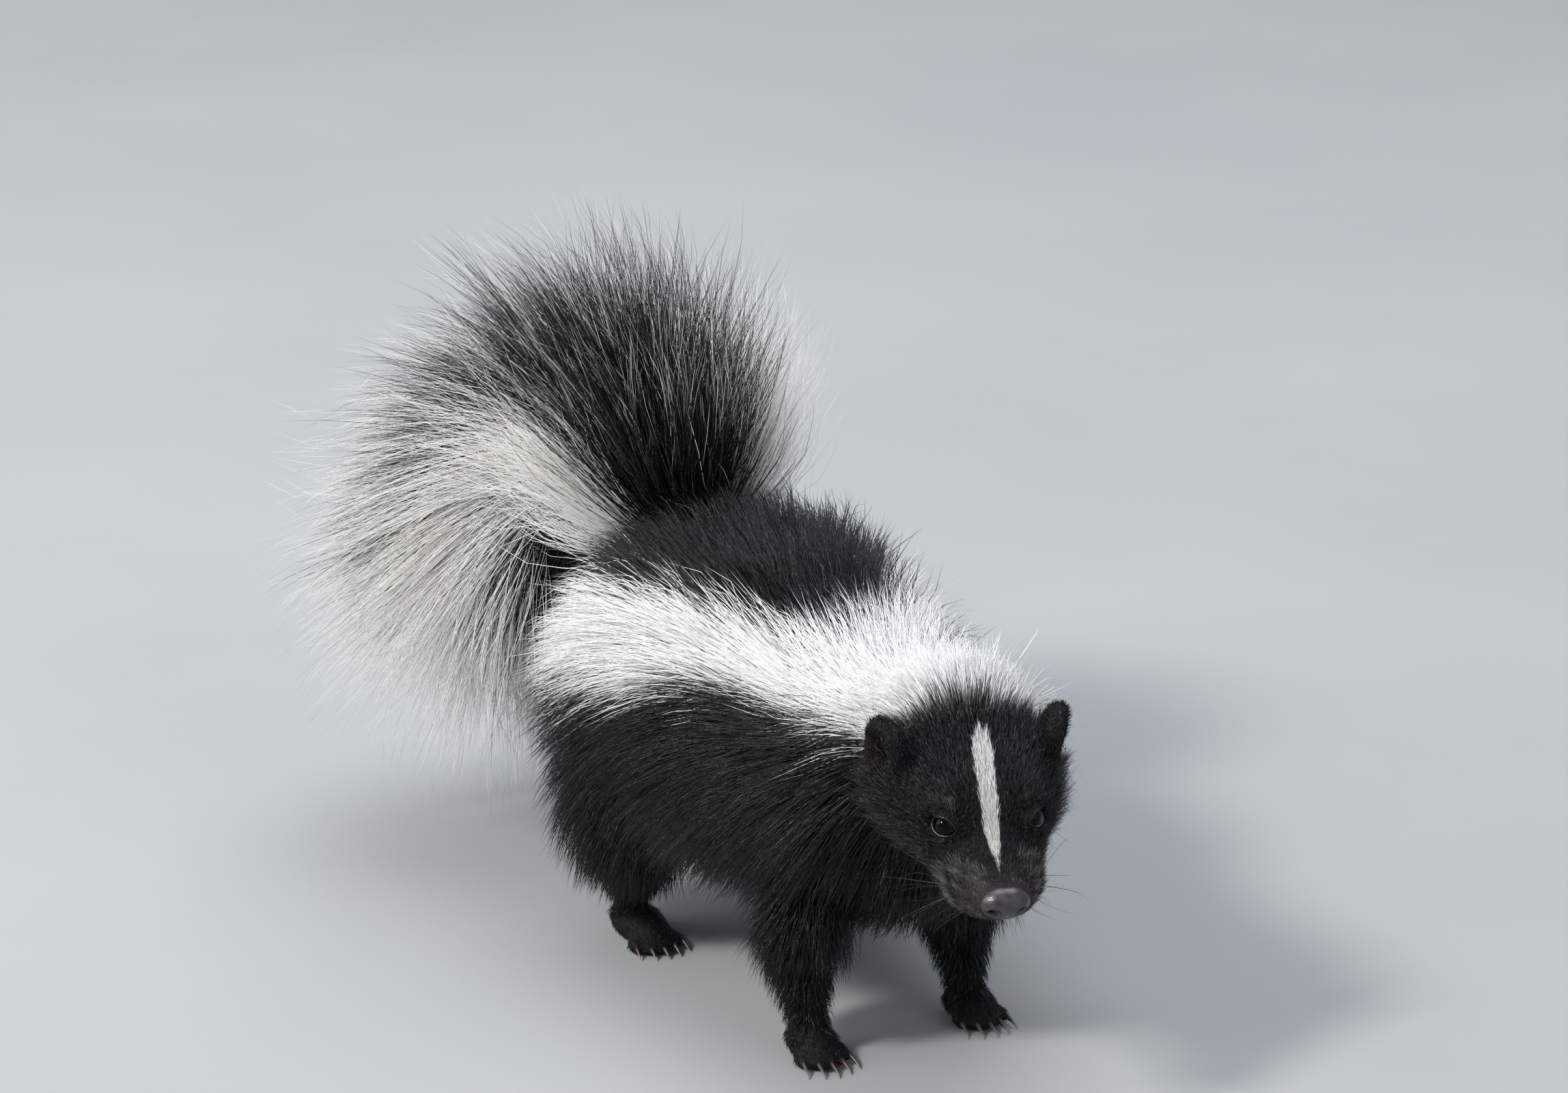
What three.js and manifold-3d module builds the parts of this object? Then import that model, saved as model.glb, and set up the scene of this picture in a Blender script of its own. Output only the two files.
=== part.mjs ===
// A young striped skunk, life size, standing on four feet with its tail raised and its head low.
// Millimetres, +Z up. The animal faces -Y, so its right side is towards -X.
import * as THREE from "three";
import { mergeVertices } from "three/addons/utils/BufferGeometryUtils.js";
import Module from "manifold-3d";

const wasm = await Module();
wasm.setup();

// Driving dimensions
const GAP = 0.3; // space kept between two parts that touch

// The head hangs on the middle of the line between the ears
const EAR_LINE = new THREE.Vector3(-3, -104, 118);
const HEAD_TURN = 11; // degrees that the head turns to the animal's right
const HEAD_PITCH = 32; // degrees that the muzzle points down
const HEAD_CUT = -12; // where the head meets the neck, along the head's axis
const THROAT_CUT = { along: -13, lift: 8, lean: 32 }; // the neck's end, which leans forward below
const NECK_CUT_Y = -62; // where the neck meets the torso
const NECK_CUT_SLOPE = 35; // degrees that this cut leans back at the top

// The head's sections: along the axis, height of the middle, half width, height above and below it
const HEAD_SECTIONS = [
  { along: -24, lift: -7, half: 0, up: 0, down: 0 },
  { along: -16, lift: -7, half: 22, up: 15, down: 17 },
  { along: -5, lift: -8, half: 28, up: 17.5, down: 20 },
  { along: 7, lift: -9, half: 29.5, up: 17.5, down: 20.5 },
  { along: 19, lift: -10.5, half: 26, up: 15, down: 18 },
  { along: 29, lift: -12, half: 19.5, up: 11.5, down: 14 },
  { along: 38, lift: -13, half: 14.5, up: 9, down: 11.5 },
  { along: 46, lift: -13.5, half: 12, up: 7.5, down: 9.5 },
  { along: 51, lift: -13.5, half: 9, up: 6, down: 7.5 },
  { along: 54, lift: -13.5, half: 0, up: 0, down: 0 },
];

// The trunk from the back of the skull to the end of the rump: middle, half width, up, down
const TRUNK_SECTIONS = [
  { at: [-4.5, -106, 108], half: 0, up: 0, down: 0 },
  { at: [-1.5, -93, 113], half: 25, up: 17, down: 20 },
  { at: [-1.5, -76, 101], half: 31, up: 25, down: 27 },
  { at: [-1, -55, 88], half: 38, up: 33, down: 40 },
  { at: [0, -30, 80], half: 43, up: 40, down: 44 },
  { at: [0, 4, 79], half: 48, up: 45, down: 46 },
  { at: [0, 38, 83], half: 54, up: 51, down: 50 },
  { at: [0, 68, 86], half: 57, up: 52, down: 50 },
  { at: [0, 92, 90], half: 50, up: 44, down: 40 },
  { at: [0, 108, 94], half: 34, up: 31, down: 28 },
  { at: [0, 120, 97], half: 0, up: 0, down: 0 },
];

// The tail: its line of bones, and the half width of the dense hair round them
const TAIL_SECTIONS = [
  { at: [0, 92, 108], half: 0, up: 0, down: 0 },
  { at: [0, 104, 118], half: 14, up: 14, down: 14 },
  { at: [0, 122, 138], half: 25, up: 25, down: 24 },
  { at: [-3, 146, 149], half: 33, up: 33, down: 31 },
  { at: [-11, 170, 145], half: 36, up: 36, down: 34 },
  { at: [-22, 188, 128], half: 33, up: 33, down: 32 },
  { at: [-32, 198, 106], half: 22, up: 22, down: 22 },
  { at: [-38, 203, 86], half: 0, up: 0, down: 0 },
];

const EAR_SPREAD = 27.5; // from the head's middle to the middle of an ear
const EAR = { wide: 9, deep: 5, tall: 12, lift: -2.6, along: -1, lean: 14, flare: 70 };
const EAR_CUP = { wide: 6, deep: 4, tall: 7, ahead: 3.6, raised: 2 };
const EYE = { across: 12.8, along: 26.6, lift: -4.6, radius: 4.3 };
const EYE_AXIS = { across: 0.7, along: 0.5, lift: 0.51 };
const LID = { ring: 4.0, thick: 0.95, ahead: 2.7, flat: 0.84 };
// Swellings and hollows of the face, alike on both sides: where, how wide and how high
const FACE_FORMS = [
  { across: 10.5, along: 19, lift: 2, wide: 6.5, high: 1.3 }, // brow
  { across: 14, along: 28, lift: -5, wide: 5.5, high: -0.6 }, // eye socket
  { across: 8, along: 44, lift: -18, wide: 6.5, high: 2.2 }, // whisker pad
  { across: 11.5, along: 34, lift: -9, wide: 6, high: -1.2 }, // side of the muzzle
  { across: 0, along: 28, lift: 1, wide: 6, high: -0.7 }, // bridge of the nose
  { across: 25, along: 10, lift: -18, wide: 10, high: 1.6 }, // cheek
];
const MOUTH = { corner: [19, -20.6], front: [60, -19.4], width: 1.1, depth: 1.5 };
const NOSE = { along: 51.5, lift: -11.8, half: 7.2, tall: 4.9, deep: 4.6 };
const NOSTRIL = { across: 3.7, drop: 1.1, ahead: 3.6, radius: 1.35 };
const JAW_SECTIONS = [
  { along: 4, lift: -24, half: 0, up: 0, down: 0 },
  { along: 12, lift: -24, half: 13, up: 8, down: 4.5 },
  { along: 26, lift: -24, half: 10.5, up: 6, down: 4 },
  { along: 38, lift: -23.5, half: 7.5, up: 4.5, down: 3 },
  { along: 45, lift: -22.5, half: 0, up: 0, down: 0 },
];

// One foreleg and one hind leg, for the right side; the left is its mirror image
const FORELEG_SECTIONS = [
  { at: [-22, -34, 78], half: 0, up: 0, down: 0 },
  { at: [-25, -37, 68], half: 13, up: 15, down: 15 },
  { at: [-29, -40, 50], half: 14, up: 15, down: 15 },
  { at: [-30, -37, 34], half: 11.5, up: 12, down: 12 },
  { at: [-30, -40, 20], half: 9, up: 8.5, down: 8.5 },
  { at: [-30, -43, 10], half: 8, up: 7.5, down: 7.5 },
  { at: [-30, -44, 3], half: 0, up: 0, down: 0 },
];
const HINDLEG_SECTIONS = [
  { at: [-30, 66, 86], half: 0, up: 0, down: 0 },
  { at: [-36, 66, 74], half: 21, up: 25, down: 26 },
  { at: [-40, 64, 54], half: 20, up: 26, down: 26 },
  { at: [-41, 64, 36], half: 15, up: 19, down: 19 },
  { at: [-39, 68, 22], half: 10.5, up: 11, down: 11 },
  { at: [-38, 72, 12], half: 8.5, up: 8.5, down: 8.5 },
  { at: [-38, 73, 4], half: 0, up: 0, down: 0 },
];
const ANKLE_CUT_FORE = 13; // height of the cut between a foreleg and its paw
const ANKLE_CUT_HIND = 15;
const FOREPAW = { x: -30, heel: -34, toes: -58, half: 8.5, tall: 7 };
const HINDPAW = { x: -38, heel: 82, toes: 46, half: 9, tall: 7 };
const TOES = 5;
const TOE = { half: 2.6, long: 5, tall: 3.2 };
const CLAW = { fore: 7.5, hind: 4.5, thick: 1.1 };
const FORELEG_STEP = -6; // how far the right foreleg stands ahead of the left one
const HINDLEG_STEP = 9; // how far the left hind leg stands behind the right one
// The cut between thigh and trunk: a point of it (across, height), its lean and its reach
const HIP_CUT = { at: [24, 34], lean: 38, front: 28, back: 125, reach: 150 };

// The locks of the coat, in rows from t = from to t = to along the body, between two angles round it
// (0 on the left, 90 on top), each about pitch from the next. Then the sizes of one lock: its belly
// is how much of its width it gains before it tapers, its lift the angle at which it leaves the
// core, which it loses by settle towards its tip, while droop pulls it down and sway sideways.
const BODY_LOCKS = {
  seed: 7, from: 0.21, to: 0.93, rows: 8, start: -40, end: 220, pitch: 23.4, segments: 3,
  length: [36, 38], width: 21, thick: 4, sink: 7, belly: 0, lift: [33, 27], settle: 21,
  fall: 0.5, back: 0, droop: 0.2, sway: 24,
};
const BELLY_LOCKS = {
  seed: 11, from: 0.27, to: 0.74, rows: 4, start: -128, end: -52, pitch: 24, segments: 2,
  length: [28, 28], width: 22, thick: 4, sink: 7, belly: 0.2, lift: [34, 34], settle: 12,
  fall: 0, back: 0, droop: 0.2, sway: 20,
};
const NAPE_LOCKS = {
  seed: 13, from: 0.095, to: 0.165, rows: 2, start: 12, end: 168, pitch: 14, segments: 3,
  length: [21, 26], width: 13, thick: 3.6, sink: 6, belly: 0.1, lift: [56, 44], settle: 26,
  fall: 0.1, back: 0, droop: 0.1, sway: 20,
};
const TAIL_LOCKS = {
  seed: 17, from: 0.22, to: 0.9, rows: 7, start: -90, end: 270, pitch: 18.8, segments: 4,
  length: [78, 88], width: 22, thick: 5.5, sink: 8, belly: 0.6, lift: [46, 68], settle: 24,
  fall: 0, back: 0, droop: 0.3, sway: 26,
};
const TAIL_END_LOCKS = {
  ...TAIL_LOCKS, seed: 19, from: 0.955, to: 0.985, rows: 2, pitch: 18, length: [76, 76],
  lift: [72, 72],
};
const HAUNCH_LOCKS = {
  seed: 23, from: 0.3, to: 0.66, rows: 3, start: -130, end: 60, pitch: 17, segments: 3,
  length: [25, 23], width: 17, thick: 3.8, sink: 6, belly: 0, lift: [30, 34], settle: 22,
  fall: 0.1, back: 0.5, droop: 0.2, sway: 20,
};
const LOCK_VARIES = 0.1; // share by which a lock's length, width and stance vary
// The planes that part the tail, each a point of it and the way to the tail's end
const TAIL_CUTS = [
  { at: [0, 106, 118], toward: [0, 0.8, 0.6] },
  { at: [-3, 146, 149], toward: [-0.205, 0.9, -0.375] },
  { at: [-18, 182, 137], toward: [-0.33, 0.25, -0.92] },
];

// Colours
const BLACK_FUR = 0x17161a;
const WHITE_FUR = 0xe6e4dd;
const GREY_FUR = 0xa9a59b;
const EYE_BROWN = 0x120c09;
const NOSE_SKIN = 0x2c2729;
const CLAW_HORN = 0x8d8173;

// Repeatable random numbers between 0 and 1
let seedNow = 1;
function draw() {
  seedNow = (seedNow * 16807) % 2147483647;
  return seedNow / 2147483647;
}

const radians = THREE.MathUtils.degToRad;
const vec = (x, y, z) => new THREE.Vector3(x, y, z);

// The head's own directions: muzzle, crown and the animal's left
const turn = radians(HEAD_TURN);
const pitch = radians(HEAD_PITCH);
const MUZZLE = vec(
  -Math.sin(turn) * Math.cos(pitch),
  -Math.cos(turn) * Math.cos(pitch),
  -Math.sin(pitch),
);
const LEFTWARD = vec(Math.cos(turn), -Math.sin(turn), 0);
const CROWN = vec().crossVectors(LEFTWARD, MUZZLE).negate();
if (CROWN.z < 0) CROWN.negate();

// A point of the head, from its place along the muzzle, up to the crown and across to the left
function headPoint(along, lift, across = 0) {
  return EAR_LINE.clone()
    .addScaledVector(MUZZLE, along)
    .addScaledVector(CROWN, lift)
    .addScaledVector(LEFTWARD, across);
}

// A size that runs smoothly through its values, one a section, and never overshoots them
class Profile {
  constructor(values) {
    this.values = values;
    const rise = values.slice(1).map((v, i) => v - values[i]);
    this.slopes = values.map((_, i) => {
      if (i === 0) return rise[0];
      if (i === rise.length) return rise[i - 1];
      const [a, b] = [rise[i - 1], rise[i]];
      return a * b > 0 ? (2 * a * b) / (a + b) : 0;
    });
  }

  at(t) {
    const place = THREE.MathUtils.clamp(t, 0, 1) * (this.values.length - 1);
    const i = Math.min(Math.floor(place), this.values.length - 2);
    const u = place - i;
    const [a, b] = [this.values[i], this.values[i + 1]];
    const [p, q] = [this.slopes[i], this.slopes[i + 1]];
    const lift = u * u * (3 - 2 * u);
    return a + (b - a) * lift + p * u * (1 - u) ** 2 - q * u * u * (1 - u);
  }
}

// A body swept along a smooth line of sections. Its surface is point(t, angle), with t from 0 to 1
// along the line and the angle from the animal's left (0) over the top (quarter turn).
class Sweep {
  constructor(sections, topHint, grow = 0) {
    this.line = new THREE.CatmullRomCurve3(sections.map((s) => vec(...s.at)));
    // Squared sizes, so that a size which falls to nothing makes a round end
    this.half = new Profile(sections.map((s) => s.half ** 2));
    this.up = new Profile(sections.map((s) => s.up ** 2));
    this.down = new Profile(sections.map((s) => s.down ** 2));
    this.topHint = topHint;
    this.grow = grow;
  }

  frame(t) {
    const forward = this.line.getTangent(t);
    const middle = this.line.getPoint(t).addScaledVector(forward, this.grow * (2 * t - 1));
    const side = vec().crossVectors(forward, this.topHint).normalize();
    const top = vec().crossVectors(side, forward).normalize();
    return { middle, side, top };
  }

  point(t, angle) {
    const { middle, side, top } = this.frame(t);
    const half = Math.sqrt(Math.max(this.half.at(t), 0));
    const rise = Math.sqrt(Math.max((Math.sin(angle) > 0 ? this.up : this.down).at(t), 0));
    const more = t > 0 && t < 1 ? this.grow : 0;
    return middle
      .addScaledVector(side, Math.cos(angle) * (half + more))
      .addScaledVector(top, Math.sin(angle) * (rise + more));
  }

  // Outward normal by small steps over the surface
  normal(t, angle) {
    const step = 0.002;
    const ahead = this.point(Math.min(t + step, 1), angle).sub(this.point(Math.max(t - step, 0), angle));
    const round = this.point(t, angle + step).sub(this.point(t, angle - step));
    const out = vec().crossVectors(ahead, round).normalize();
    const fromMiddle = this.point(t, angle).sub(this.frame(t).middle);
    return out.dot(fromMiddle) < 0 ? out.negate() : out;
  }

  // A sphere whose rings become the sections
  geometry(sides, rings) {
    const shape = new THREE.SphereGeometry(1, sides, rings);
    const spots = shape.getAttribute("position");
    for (let i = 0; i < spots.count; i++) {
      const t = (1 - spots.getY(i)) / 2;
      const p = this.point(
        THREE.MathUtils.clamp(t, 0, 1),
        Math.atan2(spots.getZ(i), spots.getX(i)),
      );
      spots.setXYZ(i, p.x, p.y, p.z);
    }
    return shape;
  }
}

// A three.js geometry as a solid, turned the right way out
function solid(geometry) {
  const bare = new THREE.BufferGeometry().setAttribute("position", geometry.getAttribute("position"));
  if (geometry.index) bare.setIndex(geometry.index);
  const merged = mergeVertices(bare, 1e-3);
  const corners = merged.index.array;
  const triVerts = new Uint32Array(corners.length);
  let kept = 0;
  for (let i = 0; i < corners.length; i += 3) {
    const [a, b, c] = [corners[i], corners[i + 1], corners[i + 2]];
    if (a === b || b === c || c === a) continue;
    triVerts.set([a, b, c], kept);
    kept += 3;
  }
  const build = (verts) =>
    new wasm.Manifold(
      new wasm.Mesh({ numProp: 3, vertProperties: merged.attributes.position.array, triVerts: verts }),
    );
  const made = build(triVerts.subarray(0, kept));
  if (made.volume() > 0) return made;
  const turned = triVerts.slice(0, kept);
  for (let i = 0; i < kept; i += 3) [turned[i + 1], turned[i + 2]] = [turned[i + 2], turned[i + 1]];
  return build(turned);
}

function joined(solids) {
  return wasm.Manifold.union(solids);
}

// The largest closed body of a solid, with sealed hollows filled
function largest(made) {
  const bodies = made.decompose().filter((b) => b.volume() > 0);
  return bodies.reduce((best, b) => (b.volume() > best.volume() ? b : best));
}

// An ellipsoid on three of the head's or the world's directions
function ellipsoid(middle, across, ahead, top, sizes, sides = 16, rings = 12) {
  const shape = new THREE.SphereGeometry(1, sides, rings);
  shape.scale(...sizes);
  shape.applyMatrix4(new THREE.Matrix4().makeBasis(across, ahead, top).setPosition(middle));
  return solid(shape);
}

// One lock: a flat, tapered blade with a ridge on its outer side, bent along its way. It starts at
// root, a point of the surface with the normal out, and runs along lie, rising by lift degrees.
function lockSolid(root, out, lie, size) {
  const { length, width, thick, sink, belly, lift, settle, droop, sway, segments, roll } = size;
  const blade = new THREE.ConeGeometry(1, 1, 3, segments);
  const total = length + sink;
  const wayAt = (share) => {
    const rise = radians(lift - settle * share);
    return lie
      .clone()
      .applyAxisAngle(out, sway * share)
      .multiplyScalar(Math.cos(rise))
      .addScaledVector(out, Math.sin(rise))
      .add(vec(0, 0, -droop * share ** 1.5))
      .normalize();
  };
  const spots = [root.clone().addScaledVector(wayAt(0), -sink)];
  for (let i = 0; i < segments; i++) {
    spots.push(spots[i].clone().addScaledVector(wayAt(i / segments), total / segments));
  }
  const corners = blade.getAttribute("position");
  for (let i = 0; i < corners.count; i++) {
    const share = 0.5 - corners.getY(i) > 0.999 ? 0 : corners.getY(i) + 0.5;
    const radius = 1 - share;
    const across = radius > 0.001 ? corners.getX(i) / radius : 0;
    const outward = radius > 0.001 ? corners.getZ(i) / radius : 0;
    const way = wayAt(share);
    const side = vec().crossVectors(way, out).normalize().applyAxisAngle(way, roll);
    const top = vec().crossVectors(side, way);
    const taper = (1 - share ** 2.2) * (1 + belly * (2 * share - 1) * 0.7);
    const p = spots[Math.round(share * segments)]
      .clone()
      .addScaledVector(side, (across / 0.866) * (width / 2) * taper)
      .addScaledVector(top, outward * 0.66 * thick * taper);
    corners.setXYZ(i, p.x, p.y, p.z);
  }
  return solid(blade);
}

// Locks in staggered rows round a sweep
function lockRows(sweep, rows) {
  const made = [];
  seedNow = rows.seed;
  for (let row = 0; row < rows.rows; row++) {
    const share = rows.rows > 1 ? row / (rows.rows - 1) : 0.5;
    const t = rows.from + (rows.to - rows.from) * share;
    const span = radians(rows.end - rows.start);
    const girth = Math.sqrt(sweep.half.at(t));
    const count = Math.max(3, Math.round((span * girth) / rows.pitch));
    for (let i = 0; i < count; i++) {
      const jitter = () => (draw() - 0.5) * 2 * LOCK_VARIES;
      const place = (i + 0.25 + 0.5 * (row % 2) + jitter()) / count;
      const angle = radians(rows.start) + span * place;
      const tHere = THREE.MathUtils.clamp(t + jitter() * 0.06, 0.01, 0.99);
      const root = sweep.point(tHere, angle);
      const out = sweep.normal(tHere, angle);
      const along = sweep.line.getTangent(tHere).add(vec(0, rows.back, -rows.fall));
      const lie = along.addScaledVector(out, -along.dot(out)).normalize();
      made.push(
        lockSolid(root, out, lie, {
          ...rows,
          length: THREE.MathUtils.lerp(...rows.length, share) * (1 + jitter()),
          width: rows.width * (1 + jitter()),
          lift: THREE.MathUtils.lerp(...rows.lift, share) * (1 + jitter()),
          sway: radians(rows.sway) * (draw() * 2 - 1),
          roll: jitter() * 1.2,
        }),
      );
    }
  }
  return made;
}

function mirrored(sections) {
  return sections.map((s) => ({ ...s, at: [-s.at[0], s.at[1], s.at[2]] }));
}

function moved(sections, y) {
  return sections.map((s) => ({ ...s, at: [s.at[0], s.at[1] + y, s.at[2]] }));
}

function headSections(list) {
  return list.map((s) => ({ ...s, at: headPoint(s.along, s.lift).toArray() }));
}

const UPWARD = vec(0, 0, 1);
const FORWARD = vec(0, -1, 0);

// The plain bodies under the coat
const skull = (grow) => new Sweep(headSections(HEAD_SECTIONS), CROWN, grow);

// The skull with the forms of the face raised or sunk in it
function faceSolid(grow) {
  const sweep = skull(grow);
  const shape = sweep.geometry(24, 18);
  const spots = shape.getAttribute("position");
  for (let i = 0; i < spots.count; i++) {
    const p = vec().fromBufferAttribute(spots, i);
    const away = p.clone().sub(headPoint(10, -10));
    const across = away.dot(LEFTWARD);
    const local = [Math.abs(across), away.dot(MUZZLE) + 10, away.dot(CROWN) - 10];
    let push = 0;
    for (const form of FACE_FORMS) {
      const far = Math.hypot(local[0] - form.across, local[1] - form.along, local[2] - form.lift);
      push += form.high * Math.exp(-((far / form.wide) ** 2));
    }
    const middle = headPoint(Math.min(local[1], 40), -12);
    p.addScaledVector(p.clone().sub(middle).normalize(), push);
    spots.setXYZ(i, p.x, p.y, p.z);
  }
  return solid(shape);
}
const trunk = (grow) => new Sweep(TRUNK_SECTIONS, UPWARD, grow);
const tail = (grow) => new Sweep(TAIL_SECTIONS, UPWARD, grow);

// Head: skull, lower jaw, lids, with the eye sockets, mouth line and nose bed cut in
function eyeFrame(side) {
  const out = vec()
    .addScaledVector(LEFTWARD, side * EYE_AXIS.across)
    .addScaledVector(MUZZLE, EYE_AXIS.along)
    .addScaledVector(CROWN, EYE_AXIS.lift)
    .normalize();
  const middle = headPoint(EYE.along, EYE.lift, side * EYE.across);
  const level = vec().crossVectors(CROWN, out).normalize();
  const top = vec().crossVectors(out, level).normalize();
  return { middle, out, level, top };
}

function eyeBall(side, grow = 0) {
  const { middle, out, level, top } = eyeFrame(side);
  const r = EYE.radius + grow;
  return ellipsoid(middle, level, top, out, [r, r, r], 10, 7);
}

function lidRing(side) {
  const { middle, out, level, top } = eyeFrame(side);
  const ring = new THREE.TorusGeometry(LID.ring, LID.thick, 5, 12);
  ring.scale(1, LID.flat, 1);
  const centre = middle.clone().addScaledVector(out, LID.ahead);
  ring.applyMatrix4(new THREE.Matrix4().makeBasis(level, top, out).setPosition(centre));
  return solid(ring);
}

function nosePad(grow = 0) {
  const middle = headPoint(NOSE.along, NOSE.lift);
  return ellipsoid(
    middle,
    LEFTWARD,
    MUZZLE,
    CROWN,
    [NOSE.half + grow, NOSE.deep + grow, NOSE.tall + grow],
    14,
    9,
  );
}

function buildNose() {
  const nostrils = [-1, 1].map((side) => {
    const middle = headPoint(
      NOSE.along + NOSTRIL.ahead,
      NOSE.lift - NOSTRIL.drop,
      side * NOSTRIL.across,
    );
    const r = NOSTRIL.radius;
    return ellipsoid(middle, LEFTWARD, MUZZLE, CROWN, [r * 1.3, r * 2.2, r], 6, 4);
  });
  return largest(nosePad().subtract(joined(nostrils)));
}

// The line of the mouth: a groove of one depth round the muzzle, from corner to corner
function mouthLine() {
  const { corner, front, width, depth } = MOUTH;
  const [back, tip] = [headPoint(...corner), headPoint(...front)];
  const ahead = tip.clone().sub(back).normalize();
  const top = vec().crossVectors(LEFTWARD, ahead);
  const slab = new THREE.BoxGeometry(90, tip.distanceTo(back), width);
  const middle = back.add(tip).multiplyScalar(0.5);
  slab.applyMatrix4(new THREE.Matrix4().makeBasis(LEFTWARD, ahead, top).setPosition(middle));
  return solid(slab).subtract(faceSolid(-depth));
}

function buildHead() {
  const jaw = new Sweep(headSections(JAW_SECTIONS), CROWN);
  const whole = joined([
    faceSolid(),
    solid(jaw.geometry(12, 8)),
    lidRing(-1),
    lidRing(1),
  ]);
  const cuts = joined([eyeBall(-1, GAP), eyeBall(1, GAP), nosePad(GAP), mouthLine()]);
  const plane = MUZZLE;
  const face = headPoint(HEAD_CUT + GAP / 2, 0).dot(plane);
  return largest(whole.subtract(cuts).trimByPlane(plane.toArray(), face));
}

// The room that the head takes from its neighbours
function headRoom() {
  return faceSolid(GAP);
}

function earFrame(side) {
  const flare = radians(EAR.flare);
  const lean = radians(EAR.lean);
  // The cup opens forwards and outwards, and the ear's tip leans out
  const open = MUZZLE.clone()
    .multiplyScalar(Math.cos(flare))
    .addScaledVector(LEFTWARD, side * Math.sin(flare));
  const top = CROWN.clone()
    .multiplyScalar(Math.cos(lean))
    .addScaledVector(LEFTWARD, side * Math.sin(lean));
  const across = vec().crossVectors(open, top).normalize();
  const up = vec().crossVectors(across, open).normalize();
  const middle = headPoint(EAR.along, EAR.lift, side * EAR_SPREAD);
  return { middle, across, open, up };
}

function earShell(side, grow = 0) {
  const { middle, across, open, up } = earFrame(side);
  const sizes = [EAR.wide + grow, EAR.deep + grow, EAR.tall + grow];
  return ellipsoid(middle, across, open, up, sizes, 12, 8);
}

function buildEar(side) {
  const { middle, across, open, up } = earFrame(side);
  const cupMiddle = middle
    .clone()
    .addScaledVector(open, EAR_CUP.ahead)
    .addScaledVector(up, EAR_CUP.raised);
  const cup = ellipsoid(
    cupMiddle,
    across,
    open,
    up,
    [EAR_CUP.wide, EAR_CUP.deep, EAR_CUP.tall],
    10,
    6,
  );
  return largest(earShell(side).subtract(cup).subtract(headRoom()));
}

// Legs and paws
function legSweep(sections, grow) {
  return new Sweep(sections, FORWARD, grow);
}

function pawSolid(paw, clawLength, side, shift) {
  const x = side * -paw.x;
  const middleY = (paw.heel + paw.toes) / 2 + shift;
  const long = (paw.heel - paw.toes) / 2;
  const pieces = [
    ellipsoid(vec(x, middleY, paw.tall * 0.72), vec(1, 0, 0), vec(0, 1, 0), UPWARD, [
      paw.half,
      long,
      paw.tall,
    ], 8, 5),
  ];
  for (let i = 0; i < TOES; i++) {
    const spread = (i / (TOES - 1)) * 2 - 1;
    const toeX = x + spread * (paw.half - 1.2);
    const toeY = paw.toes + shift + 1.5 + 3.5 * spread * spread;
    pieces.push(
      ellipsoid(vec(toeX, toeY, TOE.tall - 0.6), vec(1, 0, 0), vec(0, 1, 0), UPWARD, [
        TOE.half,
        TOE.long,
        TOE.tall,
      ], 5, 3),
    );
    const claw = new THREE.ConeGeometry(CLAW.thick, clawLength, 3, 1);
    claw.applyMatrix4(
      new THREE.Matrix4()
        .makeRotationFromEuler(new THREE.Euler(radians(-104), 0, radians(-8 * spread)))
        .setPosition(toeX + spread * 0.6, toeY - TOE.long - clawLength * 0.28, TOE.tall - 0.9),
    );
    pieces.push(solid(claw));
  }
  return joined(pieces).trimByPlane([0, 0, 1], 0);
}

function legCore(sections, side, shift, grow = 0) {
  const own = moved(side > 0 ? mirrored(sections) : sections, shift);
  return solid(legSweep(own, grow).geometry(10, 11));
}

function buildForeleg(side, shift) {
  const leg = legCore(FORELEG_SECTIONS, side, shift);
  return largest(leg.trimByPlane([0, 0, 1], ANKLE_CUT_FORE + GAP / 2));
}

// The block that holds one thigh: its inner face is the slanting cut between thigh and trunk
function hipBlock(side, shift, grow) {
  const { at, lean, front, back, reach } = HIP_CUT;
  const out = vec(side * Math.cos(radians(lean)), 0, -Math.sin(radians(lean)));
  const long = back - front + 2 * grow;
  const block = new THREE.BoxGeometry(reach + grow, long, 2 * reach);
  const up = vec().crossVectors(out, vec(0, 1, 0));
  const middle = vec(side * at[0], (front + back) / 2 + shift, at[1]).addScaledVector(
    out,
    (reach - grow) / 2,
  );
  block.applyMatrix4(new THREE.Matrix4().makeBasis(out, vec(0, 1, 0), up).setPosition(middle));
  return solid(block);
}

function buildHindleg(body, side, shift) {
  const leg = body.intersect(hipBlock(side, shift, -GAP / 2));
  return largest(leg.trimByPlane([0, 0, 1], ANKLE_CUT_HIND + GAP / 2));
}

function buildPaw(sections, cutHeight, paw, clawLength, side, shift) {
  const own = moved(side > 0 ? mirrored(sections) : sections, shift);
  const ankle = solid(legSweep(own).geometry(10, 11));
  const whole = joined([ankle, pawSolid(paw, clawLength, side, shift)]);
  return largest(whole.trimByPlane([0, 0, -1], -(cutHeight - GAP / 2)).trimByPlane([0, 0, 1], 0));
}

// Trunk nodes
const cutLean = radians(NECK_CUT_SLOPE);
const NECK_PLANE = vec(0, -Math.cos(cutLean), Math.sin(cutLean));
const neckCutAt = vec(0, NECK_CUT_Y, 90).dot(NECK_PLANE);

function legRoom() {
  return [
    legCore(FORELEG_SECTIONS, -1, FORELEG_STEP, GAP),
    legCore(FORELEG_SECTIONS, 1, 0, GAP),
    hipBlock(-1, 0, GAP / 2),
    hipBlock(1, HINDLEG_STEP, GAP / 2),
  ];
}

// The part of a solid that is past a cut (1) or before it (-1)
function beyond(made, cut, way) {
  const toward = vec(...cut.toward).normalize().multiplyScalar(way);
  return made.trimByPlane(toward.toArray(), vec(...cut.at).dot(toward) + GAP / 2);
}

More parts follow.
